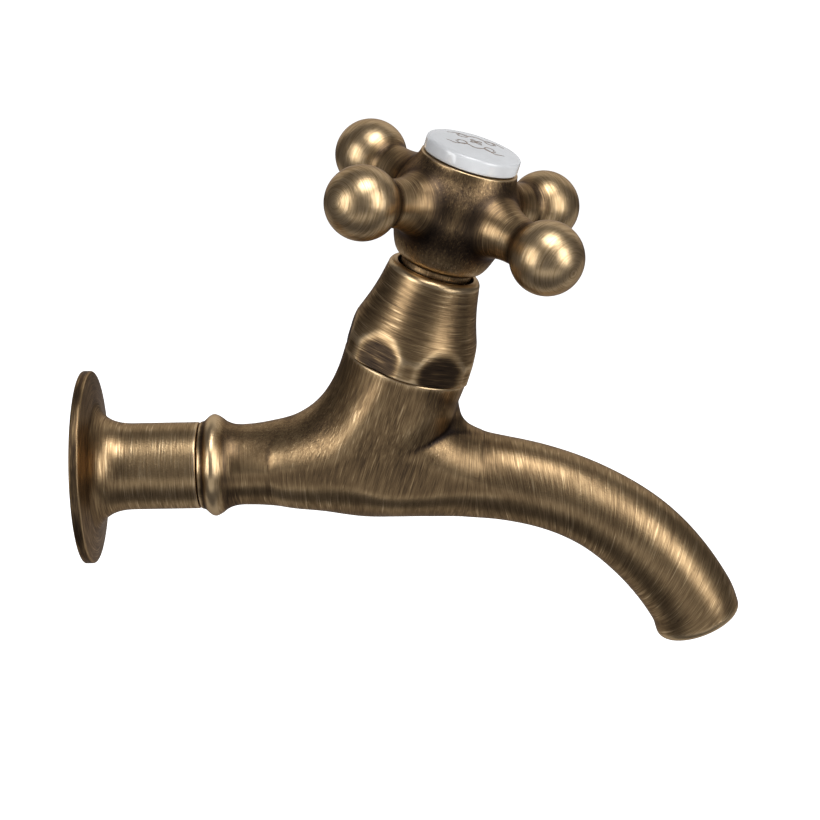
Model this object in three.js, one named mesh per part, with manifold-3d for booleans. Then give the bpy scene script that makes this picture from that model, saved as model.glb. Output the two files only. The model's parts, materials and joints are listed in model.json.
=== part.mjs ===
// Wall bib tap in antique brass, as an assembly of its separate pieces.
// Millimetres. The inlet runs along +X from the wall face at X = 0, +Z is up, and Y = 0 is the mirror plane.
// The valve stands on its own tilted axis, the stem axis. Its pieces are made in the stem frame, whose
// z = 0 is the flat top of the body's column and whose +z points up to the handle.

import * as THREE from "three";
import { mergeVertices } from "three/addons/utils/BufferGeometryUtils.js";
import Module from "manifold-3d";

const wasm = await Module();
wasm.setup();

// ---- driving dimensions -------------------------------------------------------------------------
const GAP = 0.3;                    // clearance kept between pieces that touch
const FACETS = 24;                  // round pieces that show
const FINE_FACETS = 36;             // the wall flange
const SMALL_FACETS = 20;            // rings and small turned pieces inside

const FLANGE_RADIUS = 22.3;
const FLANGE_RIM = 2.15;
const SLEEVE_RADIUS = 10;
const SLEEVE_LENGTH = 26.8;
const SOCKET_RADIUS = 7.5;          // thread crests of the G3/8 female inlet
const SOCKET_DEPTH = 15;
const SOCKET_CHAMFER = 1.1;
const WATERWAY_RADIUS = 4.8;        // through the spigot and the sleeve's inner end
const SPIGOT_RADIUS = 7.3;
const SPIGOT_START = 17.3;
const BEAD_CENTRE = 30.1;
const BEAD_RADIUS = 11.75;
const NECK_RADIUS = 9.3;

const STEM_TILT = 18.5;             // degrees from vertical, leaning away from the wall
const HANDLE_CENTRE = new THREE.Vector3(87.6, 0, 60.95);
const HANDLE_HEIGHT = 38.5;         // handle centre above the column top, along the stem
const COLUMN_RADIUS = 14.4;
const CHAMBER_RADIUS = 9.5;
const CHAMBER_FLOOR = -18.5;
const BONNET_BORE = 10.4;
const BONNET_DEPTH = 8.5;
const SEAT_HOLE_RADIUS = 7;
const SEAT_BORE = 4.5;

const OUTLET_CENTRE = new THREE.Vector3(142.15, 0, -41.5);
const OUTLET_ANGLE = 70;            // degrees below the horizontal
const OUTLET_RADIUS = 10.8;
const OUTLET_FACE_RADIUS = 9.2;
const OUTLET_BORE = 7.4;
const SPOUT_BORE = 6.3;

const SPINDLE_RADIUS = 4.4;
const SPINDLE_FOOT_RADIUS = 5;
const SQUARE_HALF = 3.1;            // half the width of the spindle's square top
const HEX_COLLAR = 22;              // across flats
const BARREL_RADIUS = 8.6;
const GLAND_RADIUS = 6.4;

const BELL_TOP = 23;
const BELL_BASE_RADIUS = 15.4;
const BELL_FLATS = 28.6;            // across the six spanner flats
const BELL_BORE = 8.9;

const HUB_BOTTOM = 24.3;
const HUB_TOP = 48.8;
const HUB_RECESS = 9.6;
const ARM_LENGTH = 29.3;            // hub centre to ball centre
const BALL_RADIUS = 8.25;
const INDEX_RADIUS = 10.8;

const BRASS = { color: 0x6e5738, roughness: 0.42, metalness: 1 };
const BRIGHT_BRASS = { color: 0xb08d4f, roughness: 0.35, metalness: 1 };
const RUBBER = { color: 0x1b1b1b, roughness: 0.85, metalness: 0 };
const FIBRE = { color: 0x7c2f22, roughness: 0.9, metalness: 0 };
const PACKING = { color: 0xd8d4c8, roughness: 0.8, metalness: 0 };
const PORCELAIN = { color: 0xf1f0ec, roughness: 0.12, metalness: 0 };
const STEEL = { color: 0x9a9c9e, roughness: 0.4, metalness: 1 };

// ---- helpers ------------------------------------------------------------------------------------
function solidOf(geometry) {
  const bare = geometry.clone();
  bare.deleteAttribute("normal");
  bare.deleteAttribute("uv");
  const merged = mergeVertices(bare, 1e-4);
  const index = merged.index.array;
  const kept = [];
  for (let i = 0; i < index.length; i += 3) {
    const [a, b, c] = [index[i], index[i + 1], index[i + 2]];
    if (a !== b && b !== c && c !== a) kept.push(a, b, c);
  }
  const mesh = new wasm.Mesh({
    numProp: 3,
    vertProperties: new Float32Array(merged.attributes.position.array),
    triVerts: new Uint32Array(kept),
  });
  return new wasm.Manifold(mesh);
}

function geometryOf(solid) {
  const mesh = solid.getMesh();
  const geometry = new THREE.BufferGeometry();
  geometry.setAttribute("position", new THREE.BufferAttribute(new Float32Array(mesh.vertProperties), 3));
  geometry.setIndex(new THREE.BufferAttribute(new Uint32Array(mesh.triVerts), 1));
  geometry.computeVertexNormals();
  return geometry;
}

// A solid of revolution about z. The outline is a list of [radius, z], counter-clockwise: up the outside.
function turned(outline, facets = SMALL_FACETS) {
  const points = outline.map(([radius, z]) => new THREE.Vector2(radius, z));
  const closed = outline[0][0] === 0 ? points : [...points, points[0].clone()];
  return solidOf(new THREE.LatheGeometry(closed, facets).rotateX(Math.PI / 2));
}

function ring(inner, outer, bottom, top, facets = SMALL_FACETS) {
  return turned([[inner, bottom], [outer, bottom], [outer, top], [inner, top]], facets);
}

function rod(radius, bottom, top, facets = SMALL_FACETS) {
  return turned([[0, bottom], [radius, bottom], [radius, top], [0, top]], facets);
}

function hexagon(acrossFlats, bottom, top) {
  const radius = acrossFlats / Math.sqrt(3);
  const prism = new THREE.CylinderGeometry(radius, radius, top - bottom, 6);
  return solidOf(prism.rotateX(Math.PI / 2).translate(0, 0, (bottom + top) / 2));
}

function block(width, depth, bottom, top) {
  const box = new THREE.BoxGeometry(width, depth, top - bottom);
  return solidOf(box.translate(0, 0, (bottom + top) / 2));
}

function alongX(solid) {
  return solid.rotate([0, 90, 0]);
}

// From the stem frame to the tap's frame, for the passages that the stem's valve needs in the body.
const columnTop = new THREE.Vector3(0, 0, -HANDLE_HEIGHT)
  .applyAxisAngle(new THREE.Vector3(0, 1, 0), THREE.MathUtils.degToRad(STEM_TILT))
  .add(HANDLE_CENTRE);

function onStem(solid) {
  return solid.rotate([0, STEM_TILT, 0]).translate(columnTop.toArray());
}

function stemPoint(radius, z) {
  return new THREE.Vector3(radius, 0, z)
    .applyAxisAngle(new THREE.Vector3(0, 1, 0), THREE.MathUtils.degToRad(STEM_TILT))
    .add(columnTop);
}

// A round bar bent along a curve in the plane Y = 0. stations are the curve's fractions where it has a
// ring of points, and radiusAt gives the bar's radius at a fraction.
function bentBar(curve, radiusAt, stations, facets = FACETS) {
  const steps = stations.length - 1;
  const bar = new THREE.CylinderGeometry(1, 1, 1, facets, steps);
  const position = bar.attributes.position;
  const across = new THREE.Vector3(0, 1, 0);
  for (let i = 0; i < position.count; i += 1) {
    const fraction = stations[Math.round((position.getY(i) + 0.5) * steps)];
    const tangent = curve.getTangentAt(fraction);
    const side = new THREE.Vector3(-tangent.z, 0, tangent.x);
    const radius = radiusAt(fraction);
    const point = curve.getPointAt(fraction)
      .addScaledVector(side, position.getX(i) * radius)
      .addScaledVector(across, position.getZ(i) * radius);
    position.setXYZ(i, point.x, point.y, point.z);
  }
  return solidOf(bar);
}

function evenly(steps, from = 0, to = 1) {
  return Array.from({ length: steps + 1 }, (_, i) => from + (i / steps) * (to - from));
}

function inPlane(x, z) {
  return new THREE.Vector3(x, 0, z);
}

// A direction in the plane Y = 0, given in degrees below +X.
function downward(degrees) {
  const angle = THREE.MathUtils.degToRad(degrees);
  return inPlane(Math.cos(angle), -Math.sin(angle));
}

// Radius by smooth steps through [x, radius] pairs along the run.
function radiusThrough(pairs) {
  return (x) => {
    if (x <= pairs[0][0]) return pairs[0][1];
    for (let i = 1; i < pairs.length; i += 1) {
      const [x0, r0] = pairs[i - 1];
      const [x1, r1] = pairs[i];
      if (x <= x1) return THREE.MathUtils.lerp(r0, r1, THREE.MathUtils.smoothstep(x, x0, x1));
    }
    return pairs[pairs.length - 1][1];
  };
}

// ---- the inlet, turned about the X axis -----------------------------------------------------------
function wallFlange() {
  const fillet = new THREE.QuadraticBezierCurve(
    new THREE.Vector2(15, 3.1), new THREE.Vector2(SLEEVE_RADIUS, 4.4), new THREE.Vector2(SLEEVE_RADIUS, 11.5),
  ).getPoints(6).map((point) => [point.x, point.y]);
  const counterbore = SPIGOT_RADIUS + GAP;
  const outline = [
    [FLANGE_RADIUS - 0.4, 0],
    [FLANGE_RADIUS, 0.4],
    [FLANGE_RADIUS, FLANGE_RIM - 0.5],
    [FLANGE_RADIUS - 0.5, FLANGE_RIM],
    ...fillet,
    [SLEEVE_RADIUS, SLEEVE_LENGTH - 0.3],
    [SLEEVE_RADIUS - 0.3, SLEEVE_LENGTH],
    [counterbore, SLEEVE_LENGTH],
    [counterbore, SPIGOT_START - GAP],
    [WATERWAY_RADIUS, SPIGOT_START - GAP],
    [WATERWAY_RADIUS, SOCKET_DEPTH],
    [SOCKET_RADIUS, SOCKET_DEPTH],
    [SOCKET_RADIUS, SOCKET_CHAMFER],
    [SOCKET_RADIUS + SOCKET_CHAMFER, 0],
  ];
  return alongX(turned(outline, FINE_FACETS));
}

function inletGasket() {
  return alongX(ring(5.2, SOCKET_RADIUS - GAP, SOCKET_DEPTH - 1.8, SOCKET_DEPTH - GAP));
}

const SEAL_GROOVE = { start: 20.4, end: 23, radius: 6 };

function sleeveSeal() {
  const { start, end, radius } = SEAL_GROOVE;
  return alongX(ring(radius + GAP, SPIGOT_RADIUS, start + GAP, end - GAP));
}

// ---- the body casting -----------------------------------------------------------------------------
const spoutStart = inPlane(88.1, -3.05);
const spoutSlope = downward(9);
const spoutEnd = inPlane(140.1, -35.5);

const runCurve = new THREE.CurvePath();
runCurve.add(new THREE.CubicBezierCurve3(
  inPlane(33, 0), inPlane(47, 0), spoutStart.clone().addScaledVector(spoutSlope, -11.7), spoutStart,
));
runCurve.add(new THREE.CubicBezierCurve3(
  spoutStart, spoutStart.clone().addScaledVector(spoutSlope, 11),
  spoutEnd.clone().addScaledVector(downward(61.5), -32.9), spoutEnd,
));
runCurve.add(new THREE.CubicBezierCurve3(
  spoutEnd, spoutEnd.clone().addScaledVector(downward(61.5), 2),
  OUTLET_CENTRE.clone().addScaledVector(downward(OUTLET_ANGLE), -2), OUTLET_CENTRE,
));

const runRadius = radiusThrough([
  [34, NECK_RADIUS], [66, 11.5], [110, 9.4], [141, OUTLET_RADIUS],
]);

function bodyRun() {
  const rimStart = 1 - 1.8 / runCurve.getLength();
  const stations = [...evenly(15, 0, rimStart), 1];
  const radiusAt = (fraction) => (
    fraction === 1 ? OUTLET_FACE_RADIUS : runRadius(runCurve.getPointAt(fraction).x)
  );
  return bentBar(runCurve, radiusAt, stations);
}

// The inlet neck swells and turns up into the column that holds the valve.
function bodyColumn() {
  const top = stemPoint(0, 0);
  const curve = new THREE.CubicBezierCurve3(inPlane(36.7, 0), inPlane(51.2, 0), stemPoint(0, -25.4), top);
  return bentBar(curve, (fraction) => 8.6 + (COLUMN_RADIUS - 8.6) * fraction ** 0.78, evenly(11));
}

// On the spout side the column hands over to the spout by a tighter bend.
function bodyThroat() {
  const curve = new THREE.CubicBezierCurve3(
    stemPoint(0, -4), inPlane(74, 10), inPlane(84, -3.5), inPlane(97, -4.6),
  );
  return bentBar(curve, (fraction) => 9.6 + 4.3 * (1 - fraction) ** 2.2, evenly(8));
}

// The spigot with its seal groove, then the bead and the neck behind it. The bead's flanks are bell curves.
function bodyNose() {
  const { start, end, radius } = SEAL_GROOVE;
  const bead = [];
  const neckFoot = BEAD_CENTRE + 5.5;
  for (let step = 0; step <= 8; step += 1) {
    const x = THREE.MathUtils.lerp(BEAD_CENTRE - 3.3, BEAD_CENTRE + 4, step / 8);
    const foot = x < BEAD_CENTRE ? SLEEVE_RADIUS - 0.15 : NECK_RADIUS + 0.1;
    const spread = x < BEAD_CENTRE ? 1.35 : 1.75;
    bead.push([foot + (BEAD_RADIUS - foot) * Math.exp(-(((x - BEAD_CENTRE) / spread) ** 2) / 1.3), x]);
  }
  const outline = [
    [0, SPIGOT_START],
    [SPIGOT_RADIUS - 0.5, SPIGOT_START],
    [SPIGOT_RADIUS, SPIGOT_START + 0.5],
    [SPIGOT_RADIUS, start],
    [radius, start],
    [radius, end],
    [SPIGOT_RADIUS, end],
    [SPIGOT_RADIUS, SLEEVE_LENGTH + GAP],
    [bead[0][0], SLEEVE_LENGTH + GAP],
    ...bead.slice(1),
    [NECK_RADIUS, neckFoot],
    [NECK_RADIUS, neckFoot + 2],
    [0, neckFoot + 2],
  ];
  return alongX(turned(outline, FACETS));
}

function tapBody() {
  const outside = bodyRun().add(bodyColumn()).add(bodyThroat()).add(bodyNose());

  const inletEnd = 73.5;
  const inlet = alongX(turned([
    [0, SPIGOT_START - 1], [WATERWAY_RADIUS, SPIGOT_START - 1], [WATERWAY_RADIUS, 30],
    [5.8, 44], [5.8, inletEnd - 2], [3.8, inletEnd], [0, inletEnd],
  ])).translate([0, 0, -0.7]);

  const seatHole = onStem(rod(SEAT_HOLE_RADIUS, CHAMBER_FLOOR - 3.5, CHAMBER_FLOOR + 1));
  const seatThroat = onStem(rod(5.2, CHAMBER_FLOOR - 8, CHAMBER_FLOOR));
  const chamber = onStem(rod(CHAMBER_RADIUS, CHAMBER_FLOOR, 0));
  const bonnetThread = onStem(rod(BONNET_BORE, -BONNET_DEPTH, 1));

  // From the chamber's outlet side the water drops into the spout's bore, which widens to the mouth.
  const mouth = OUTLET_CENTRE.clone().addScaledVector(downward(OUTLET_ANGLE), 2);
  const outletCurve = new THREE.CurvePath();
  const joint = spoutStart.clone().addScaledVector(spoutSlope, 5);
  outletCurve.add(new THREE.CubicBezierCurve3(
    stemPoint(6.5, -10.5), stemPoint(13, -15.5), joint.clone().addScaledVector(spoutSlope, -7), joint,
  ));
  outletCurve.add(new THREE.CubicBezierCurve3(
    joint, joint.clone().addScaledVector(spoutSlope, 8),
    spoutEnd.clone().addScaledVector(downward(61.5), -31), spoutEnd,
  ));
  outletCurve.add(new THREE.CubicBezierCurve3(
    spoutEnd, spoutEnd.clone().addScaledVector(downward(61.5), 2),
    mouth.clone().addScaledVector(downward(OUTLET_ANGLE), -4), mouth,
  ));
  const boreAt = (fraction) => THREE.MathUtils.lerp(
    THREE.MathUtils.lerp(4.6, SPOUT_BORE, THREE.MathUtils.smoothstep(fraction, 0, 0.35)),
    OUTLET_BORE, THREE.MathUtils.smoothstep(fraction, 0.75, 0.9),
  );
  const outlet = bentBar(outletCurve, boreAt, evenly(14), 16);

  return outside.subtract(inlet).subtract(seatThroat).subtract(seatHole)
    .subtract(chamber).subtract(bonnetThread).subtract(outlet);
}

// ---- the valve, turned about the stem axis ----------------------------------------------------------
function valveSeat() {
  const bottom = CHAMBER_FLOOR - 3.2;
  const top = CHAMBER_FLOOR - 0.2;
  const outer = SEAT_HOLE_RADIUS - GAP;
  return turned([
    [SEAT_BORE, bottom], [outer, bottom], [outer, top], [5.7, top], [5.4, top + 0.8], [SEAT_BORE, top + 0.8],
  ]);
}

const SEAT_LIP = CHAMBER_FLOOR + 0.6;
const WASHER_BOTTOM = SEAT_LIP + GAP;
const WASHER_TOP = WASHER_BOTTOM + 2.4;
const DISC_BOTTOM = WASHER_TOP + GAP;
const DISC_TOP = DISC_BOTTOM + 1.5;

function seatWasher() {
  return turned([
    [1.8, WASHER_BOTTOM], [6, WASHER_BOTTOM], [6.4, WASHER_BOTTOM + 0.4],
    [6.4, WASHER_TOP], [1.8, WASHER_TOP],
  ]);
}

function jumper() {
  return turned([
    [0, WASHER_BOTTOM - 3.2], [1.5, WASHER_BOTTOM - 3.2], [1.5, DISC_BOTTOM], [6.9, DISC_BOTTOM],
    [6.9, DISC_TOP - 0.3], [6.6, DISC_TOP], [2.6, DISC_TOP], [2.6, -5.5], [2.3, -5.2], [0, -5.2],
  ]);
}

function washerNut() {
  return hexagon(6, WASHER_BOTTOM - 2.5, WASHER_BOTTOM - GAP)
    .subtract(rod(1.8, WASHER_BOTTOM - 3, WASHER_BOTTOM));
}

function headworkWasher() {
  return ring(10.7, 12.5, GAP, 1);
}

const COLLAR_BOTTOM = 1.3;
const COLLAR_TOP = 6.5;
const BARREL_TOP = 18.9;
const GLAND_FLOOR = 11.5;

function headworkBody() {
  const thread = BONNET_BORE - GAP;
  const tube = turned([
    [SPINDLE_FOOT_RADIUS + GAP, GAP - BONNET_DEPTH + 0.2],
    [thread - 0.5, GAP - BONNET_DEPTH + 0.2],
    [thread, 1 - BONNET_DEPTH],
    [thread, 3],
    [BARREL_RADIUS, 3],
    [BARREL_RADIUS, BARREL_TOP],
    [GLAND_RADIUS + GAP, BARREL_TOP],
    [GLAND_RADIUS + GAP, GLAND_FLOOR],
    [SPINDLE_RADIUS + GAP, GLAND_FLOOR],
    [SPINDLE_RADIUS + GAP, 6.8],
    [SPINDLE_FOOT_RADIUS + GAP, 6.8],
  ], 24);
  const bore = rod(BARREL_RADIUS - 0.5, COLLAR_BOTTOM - 1, COLLAR_TOP + 1, 24);
  return tube.add(hexagon(HEX_COLLAR, COLLAR_BOTTOM, COLLAR_TOP).subtract(bore));
}

function glandPacking() {
  return ring(SPINDLE_RADIUS + GAP, GLAND_RADIUS, GLAND_FLOOR + GAP, 14.4);
}

function glandFollower() {
  return ring(SPINDLE_RADIUS + GAP, GLAND_RADIUS, 14.7, 15.9);
}

function glandNut() {
  const bore = rod(SPINDLE_RADIUS + GAP, 15, 24);
  return rod(GLAND_RADIUS, 16.2, 20).add(hexagon(14.2, BARREL_TOP + GAP, 22.2)).subtract(bore);
}

function coverSeal() {
  return turned([
    [BARREL_RADIUS + GAP, 7.3], [9.3, 6.9], [10, 6.9], [10.4, 7.3], [10.4, 8], [10, 8.4], [9.3, 8.4],
    [BARREL_RADIUS + GAP, 8],
  ]);
}

function bellCover() {
  const flare = new THREE.CubicBezierCurve(
    new THREE.Vector2(14.4, 7.6), new THREE.Vector2(12.7, 12.4),
    new THREE.Vector2(11.2, 17.5), new THREE.Vector2(10.6, 21.9),
  ).getPoints(5).map((point) => [point.x, point.y]);
  const shell = turned([
    [13, GAP],
    [BELL_BASE_RADIUS - 0.1, GAP],
    [BELL_BASE_RADIUS, 1],
    [BELL_BASE_RADIUS, 4.6],
    [15.1, 5.7],
    ...flare,
    [10.3, 22.6],
    [9.7, BELL_TOP],
    [BELL_BORE, BELL_TOP],
    [BELL_BORE, 12.5],
    [13, 7],
  ], 30);
  let cover = shell;
  for (let side = 0; side < 6; side += 1) {
    const cutter = block(10, 24, -1, 12).translate([BELL_FLATS / 2 + 5, 0, 0]).rotate([0, 0, side * 60]);
    cover = cover.subtract(cutter);
  }
  return cover;
}

// ---- the handle and what turns with it ---------------------------------------------------------------
const SQUARE_TOP = HANDLE_HEIGHT - 0.6;
const WEB_TOP = HANDLE_HEIGHT + 2;  // the web that the screw clamps on the spindle
const CUP_BOTTOM = 44.5;

function spindle() {
  const squareFoot = HUB_BOTTOM - GAP;
  const stem = turned([
    [0, -4.5], [2.9, -4.5], [2.9, -12.8], [4.6, -12.8], [SPINDLE_FOOT_RADIUS, -12.4],
    [SPINDLE_FOOT_RADIUS, 1.1], [SPINDLE_RADIUS, 1.5], [SPINDLE_RADIUS, squareFoot], [0, squareFoot],
  ]);
  const square = block(2 * SQUARE_HALF, 2 * SQUARE_HALF, squareFoot - 1, SQUARE_TOP);
  return stem.add(square).subtract(rod(2, 29.5, SQUARE_TOP + 1));
}

function hub() {
  return turned([
    [0, HUB_BOTTOM],
    [8.2, HUB_BOTTOM],
    [9.6, 25],
    [11, 26.9],
    [11.8, 29.4],
    [12, 32.5],
    [11.8, 40],
    [11.4, 45],
    [11.1, HUB_TOP - 0.3],
    [10.8, HUB_TOP],
    [0, HUB_TOP],
  ], FACETS);
}

// One arm with its ball, turned about its own axis and laid along +x.
function arm() {
  const outline = [[0, 0], [9.5, 0], [9.3, 10], [7.4, 13], [6, 16.4], [5.4, 19.6]];
  const ballStart = Math.PI - Math.asin(5.4 / BALL_RADIUS);
  const ballSteps = 8;
  for (let step = 0; step < ballSteps; step += 1) {
    const angle = ballStart * (1 - step / ballSteps);
    outline.push([BALL_RADIUS * Math.sin(angle), ARM_LENGTH + BALL_RADIUS * Math.cos(angle)]);
  }
  outline.push([0, ARM_LENGTH + BALL_RADIUS]);
  return turned(outline, 18).rotate([0, 90, 0]);
}

function crossHandle() {
  let handle = hub();
  for (let side = 0; side < 4; side += 1) {
    handle = handle.add(arm().rotate([0, 0, 45 + 90 * side]).translate([0, 0, HANDLE_HEIGHT]));
  }
  const socket = 2 * (SQUARE_HALF + GAP);
  return handle
    .subtract(block(socket, socket, HUB_BOTTOM - 1, SQUARE_TOP + GAP))
    .subtract(rod(2, HANDLE_HEIGHT - 1, WEB_TOP + 1))
    .subtract(rod(5.2, WEB_TOP, HUB_TOP))
    .subtract(rod(HUB_RECESS, CUP_BOTTOM - GAP, HUB_TOP + 1, FACETS));
}

// A split ring; its slit is cut at a slant, as a spring washer's is.
function springWasher() {
  const slit = block(3, 0.7, -2, 2).rotate([25, 0, 0]).translate([3.4, 0, WEB_TOP + 0.8]);
  return ring(2.4, 4.4, WEB_TOP + GAP, WEB_TOP + 1.3).subtract(slit);
}

const SCREW_SEAT = WEB_TOP + 1.6;

function handleScrew() {
  const screw = turned([
    [0, 30], [1.4, 30], [1.7, 30.4], [1.7, SCREW_SEAT], [4.2, SCREW_SEAT], [4.2, SCREW_SEAT + 1],
    [3.4, SCREW_SEAT + 1.7], [0, SCREW_SEAT + 1.8],
  ]);
  return screw.subtract(block(10, 1, SCREW_SEAT + 0.9, SCREW_SEAT + 3));
}

const CUP_GROOVE = { bottom: 46, top: 47.8, radius: 8.3 };

function indexCup() {
  const outer = HUB_RECESS - 0.4;
  return turned([
    [0, CUP_BOTTOM], [outer - 0.4, CUP_BOTTOM], [outer, CUP_BOTTOM + 0.4], [outer, CUP_GROOVE.bottom],
    [CUP_GROOVE.radius, CUP_GROOVE.bottom], [CUP_GROOVE.radius, CUP_GROOVE.top], [outer, CUP_GROOVE.top],
    [outer, 48.7], [7.6, 48.7], [7.6, CUP_BOTTOM + 0.8], [0, CUP_BOTTOM + 0.8],
  ], 24);
}

function indexSeal() {
  return ring(CUP_GROOVE.radius + GAP, 9.3, CUP_GROOVE.bottom + GAP, CUP_GROOVE.top - GAP, 24);
}

function indexDisc() {
  const edge = HUB_TOP + GAP;
  return turned([
    [0, CUP_BOTTOM + 1.1], [7.3, CUP_BOTTOM + 1.1], [7.3, edge], [INDEX_RADIUS - 0.3, edge],
    [INDEX_RADIUS, edge + 0.4], [INDEX_RADIUS - 0.2, edge + 1.6], [INDEX_RADIUS - 1.1, edge + 2.4],
    [6, edge + 3.2], [0, edge + 3.6],
  ], FACETS);
}

// ---- the assembly -------------------------------------------------------------------------------------
function piece(name, solid, material) {
  const mesh = new THREE.Mesh(geometryOf(solid), new THREE.MeshStandardMaterial(material));
  mesh.name = name;
  return mesh;
}

const tap = new THREE.Group();
tap.add(
  piece("wall_flange", wallFlange(), BRASS),
  piece("inlet_gasket", inletGasket(), FIBRE),
  piece("sleeve_o_ring", sleeveSeal(), RUBBER),
  piece("tap_body", tapBody(), BRASS),
);

const stem = new THREE.Group();
stem.position.copy(columnTop);
stem.rotation.y = THREE.MathUtils.degToRad(STEM_TILT);
stem.add(
  piece("valve_seat", valveSeat(), BRIGHT_BRASS),
  piece("seat_washer", seatWasher(), RUBBER),
  piece("washer_nut", washerNut(), BRIGHT_BRASS),
  piece("jumper", jumper(), BRIGHT_BRASS),
  piece("headwork_washer", headworkWasher(), FIBRE),
  piece("headwork_body", headworkBody(), BRIGHT_BRASS),
  piece("gland_packing", glandPacking(), PACKING),
  piece("gland_follower", glandFollower(), BRIGHT_BRASS),
  piece("gland_nut", glandNut(), BRIGHT_BRASS),
  piece("cover_o_ring", coverSeal(), RUBBER),
  piece("bell_cover", bellCover(), BRASS),
  piece("spindle", spindle(), BRIGHT_BRASS),
  piece("cross_handle", crossHandle(), BRASS),
  piece("spring_washer", springWasher(), STEEL),
  piece("handle_screw", handleScrew(), STEEL),
  piece("index_cup", indexCup(), BRASS),
  piece("index_o_ring", indexSeal(), RUBBER),
  piece("index_disc", indexDisc(), PORCELAIN),
);
tap.add(stem);

export default tap;
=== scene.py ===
import json
import math

import bmesh
import bpy
import numpy as np
from mathutils import Matrix, Vector


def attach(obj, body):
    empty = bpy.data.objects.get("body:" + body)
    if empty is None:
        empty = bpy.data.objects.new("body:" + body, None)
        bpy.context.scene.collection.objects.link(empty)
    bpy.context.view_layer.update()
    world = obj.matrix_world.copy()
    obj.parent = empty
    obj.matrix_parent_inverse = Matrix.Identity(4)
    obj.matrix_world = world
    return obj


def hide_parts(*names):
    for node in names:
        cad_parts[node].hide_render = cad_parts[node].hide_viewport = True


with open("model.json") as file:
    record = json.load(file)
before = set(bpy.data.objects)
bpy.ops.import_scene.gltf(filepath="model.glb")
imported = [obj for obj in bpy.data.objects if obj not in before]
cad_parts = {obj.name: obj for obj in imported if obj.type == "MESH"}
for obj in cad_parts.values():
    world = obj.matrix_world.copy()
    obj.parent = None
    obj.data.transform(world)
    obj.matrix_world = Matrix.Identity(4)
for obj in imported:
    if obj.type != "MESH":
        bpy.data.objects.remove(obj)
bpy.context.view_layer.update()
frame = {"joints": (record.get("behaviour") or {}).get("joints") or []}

MM = 0.001

# ---- sizes, in millimetres -----------------------------------------------------------------------
GAP = 0.3
VOXEL = 0.5                      # spacing of the sampled fields that the cast pieces are drawn from
SHARP_DEGREES = 40

FLANGE_RADIUS = 22.3
FLANGE_RIM = 2.15
SLEEVE_RADIUS = 10.0
SLEEVE_LENGTH = 26.8
SOCKET_RADIUS = 7.5
SOCKET_DEPTH = 15.0
THREAD_PITCH = 1.337             # G3/8
THREAD_HEIGHT = 0.8
WATERWAY = 4.8
SPIGOT_RADIUS = 7.3
SPIGOT_START = 17.3
SEAL_START, SEAL_END, SEAL_RADIUS = 20.4, 23.0, 6.0
RUN_START = 34
BEAD_END, SWELL_START = 36.5, 38.5

COLUMN_FOOT, COLUMN_RADIUS = 7.1, 14.4
BONNET_BORE, BONNET_DEPTH = 10.4, 8.5
CHAMBER_RADIUS, CHAMBER_FLOOR = 9.5, -18.5
SEAT_HOLE = 7.0
SPINDLE_RADIUS, FOOT_RADIUS = 4.4, 5.0
SQUARE_HALF = 3.1
BARREL_RADIUS, BARREL_TOP = 8.6, 18.9
GLAND_RADIUS, GLAND_FLOOR = 6.4, 11.5
HEADWORK_HEX, GLAND_HEX, WASHER_NUT_HEX = 22.0, 14.2, 6.0
SPINDLE_PITCH = 2.5

BELL_TOP = 23.0
BELL_BASE = 15.4
BELL_FLATS = 28.6
BELL_BORE = 8.9

HANDLE_HEIGHT = 38.5
HUB_BOTTOM, HUB_TOP = 24.3, 48.8
HUB_RECESS = 9.6
WEB_TOP = HANDLE_HEIGHT + 2
SQUARE_TOP = HANDLE_HEIGHT - 0.6
CUP_BOTTOM = 44.5
ARM_LENGTH = 29.3
BALL_RADIUS = 8.25
INDEX_RADIUS = 10.8
INDEX_RAISE = 0.8
CROWN_RADIUS = INDEX_RADIUS - 1.5
SCREW_HOLE = 2.0

OUTLET_ANGLE = 70.0
OUTLET_ROUND = 1.75
OUTLET_BORE = 7.4
SPOUT_BORE, SPOUT_BORE_START = 6.3, 4.6
SIDE_PASSAGE = 5.2

# ---- the stem's own frame, from the handle's joint -----------------------------------------------
handle_joint = next(joint for joint in frame["joints"] if joint["name"] == "handle_turn")
STEM_ORIGIN = np.array(handle_joint["pos_m"]) / MM
STEM_AXIS = np.array(handle_joint["axis"])
STEM_SIDE = np.array([STEM_AXIS[2], 0.0, -STEM_AXIS[0]])


def on_stem(points):
    """Points given in the stem's frame, whose z = 0 is the column's flat top, in the tap's frame."""
    across = np.array([0.0, 1.0, 0.0])
    return STEM_ORIGIN + points @ np.array([STEM_SIDE, across, STEM_AXIS])


def to_stem(points):
    return (points - STEM_ORIGIN) @ np.array([STEM_SIDE, [0.0, 1.0, 0.0], STEM_AXIS]).T


def along_x(points):
    """Points turned about z, laid along the inlet: their z becomes X."""
    return np.stack([points[:, 2], points[:, 1], -points[:, 0]], axis=1)


def in_place(points):
    return points


# ---- curves in the plane Y = 0 -------------------------------------------------------------------
def heading(degrees):
    """The direction that many degrees below +X, as [x, z]."""
    angle = math.radians(degrees)
    return np.array([math.cos(angle), -math.sin(angle)])


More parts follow.
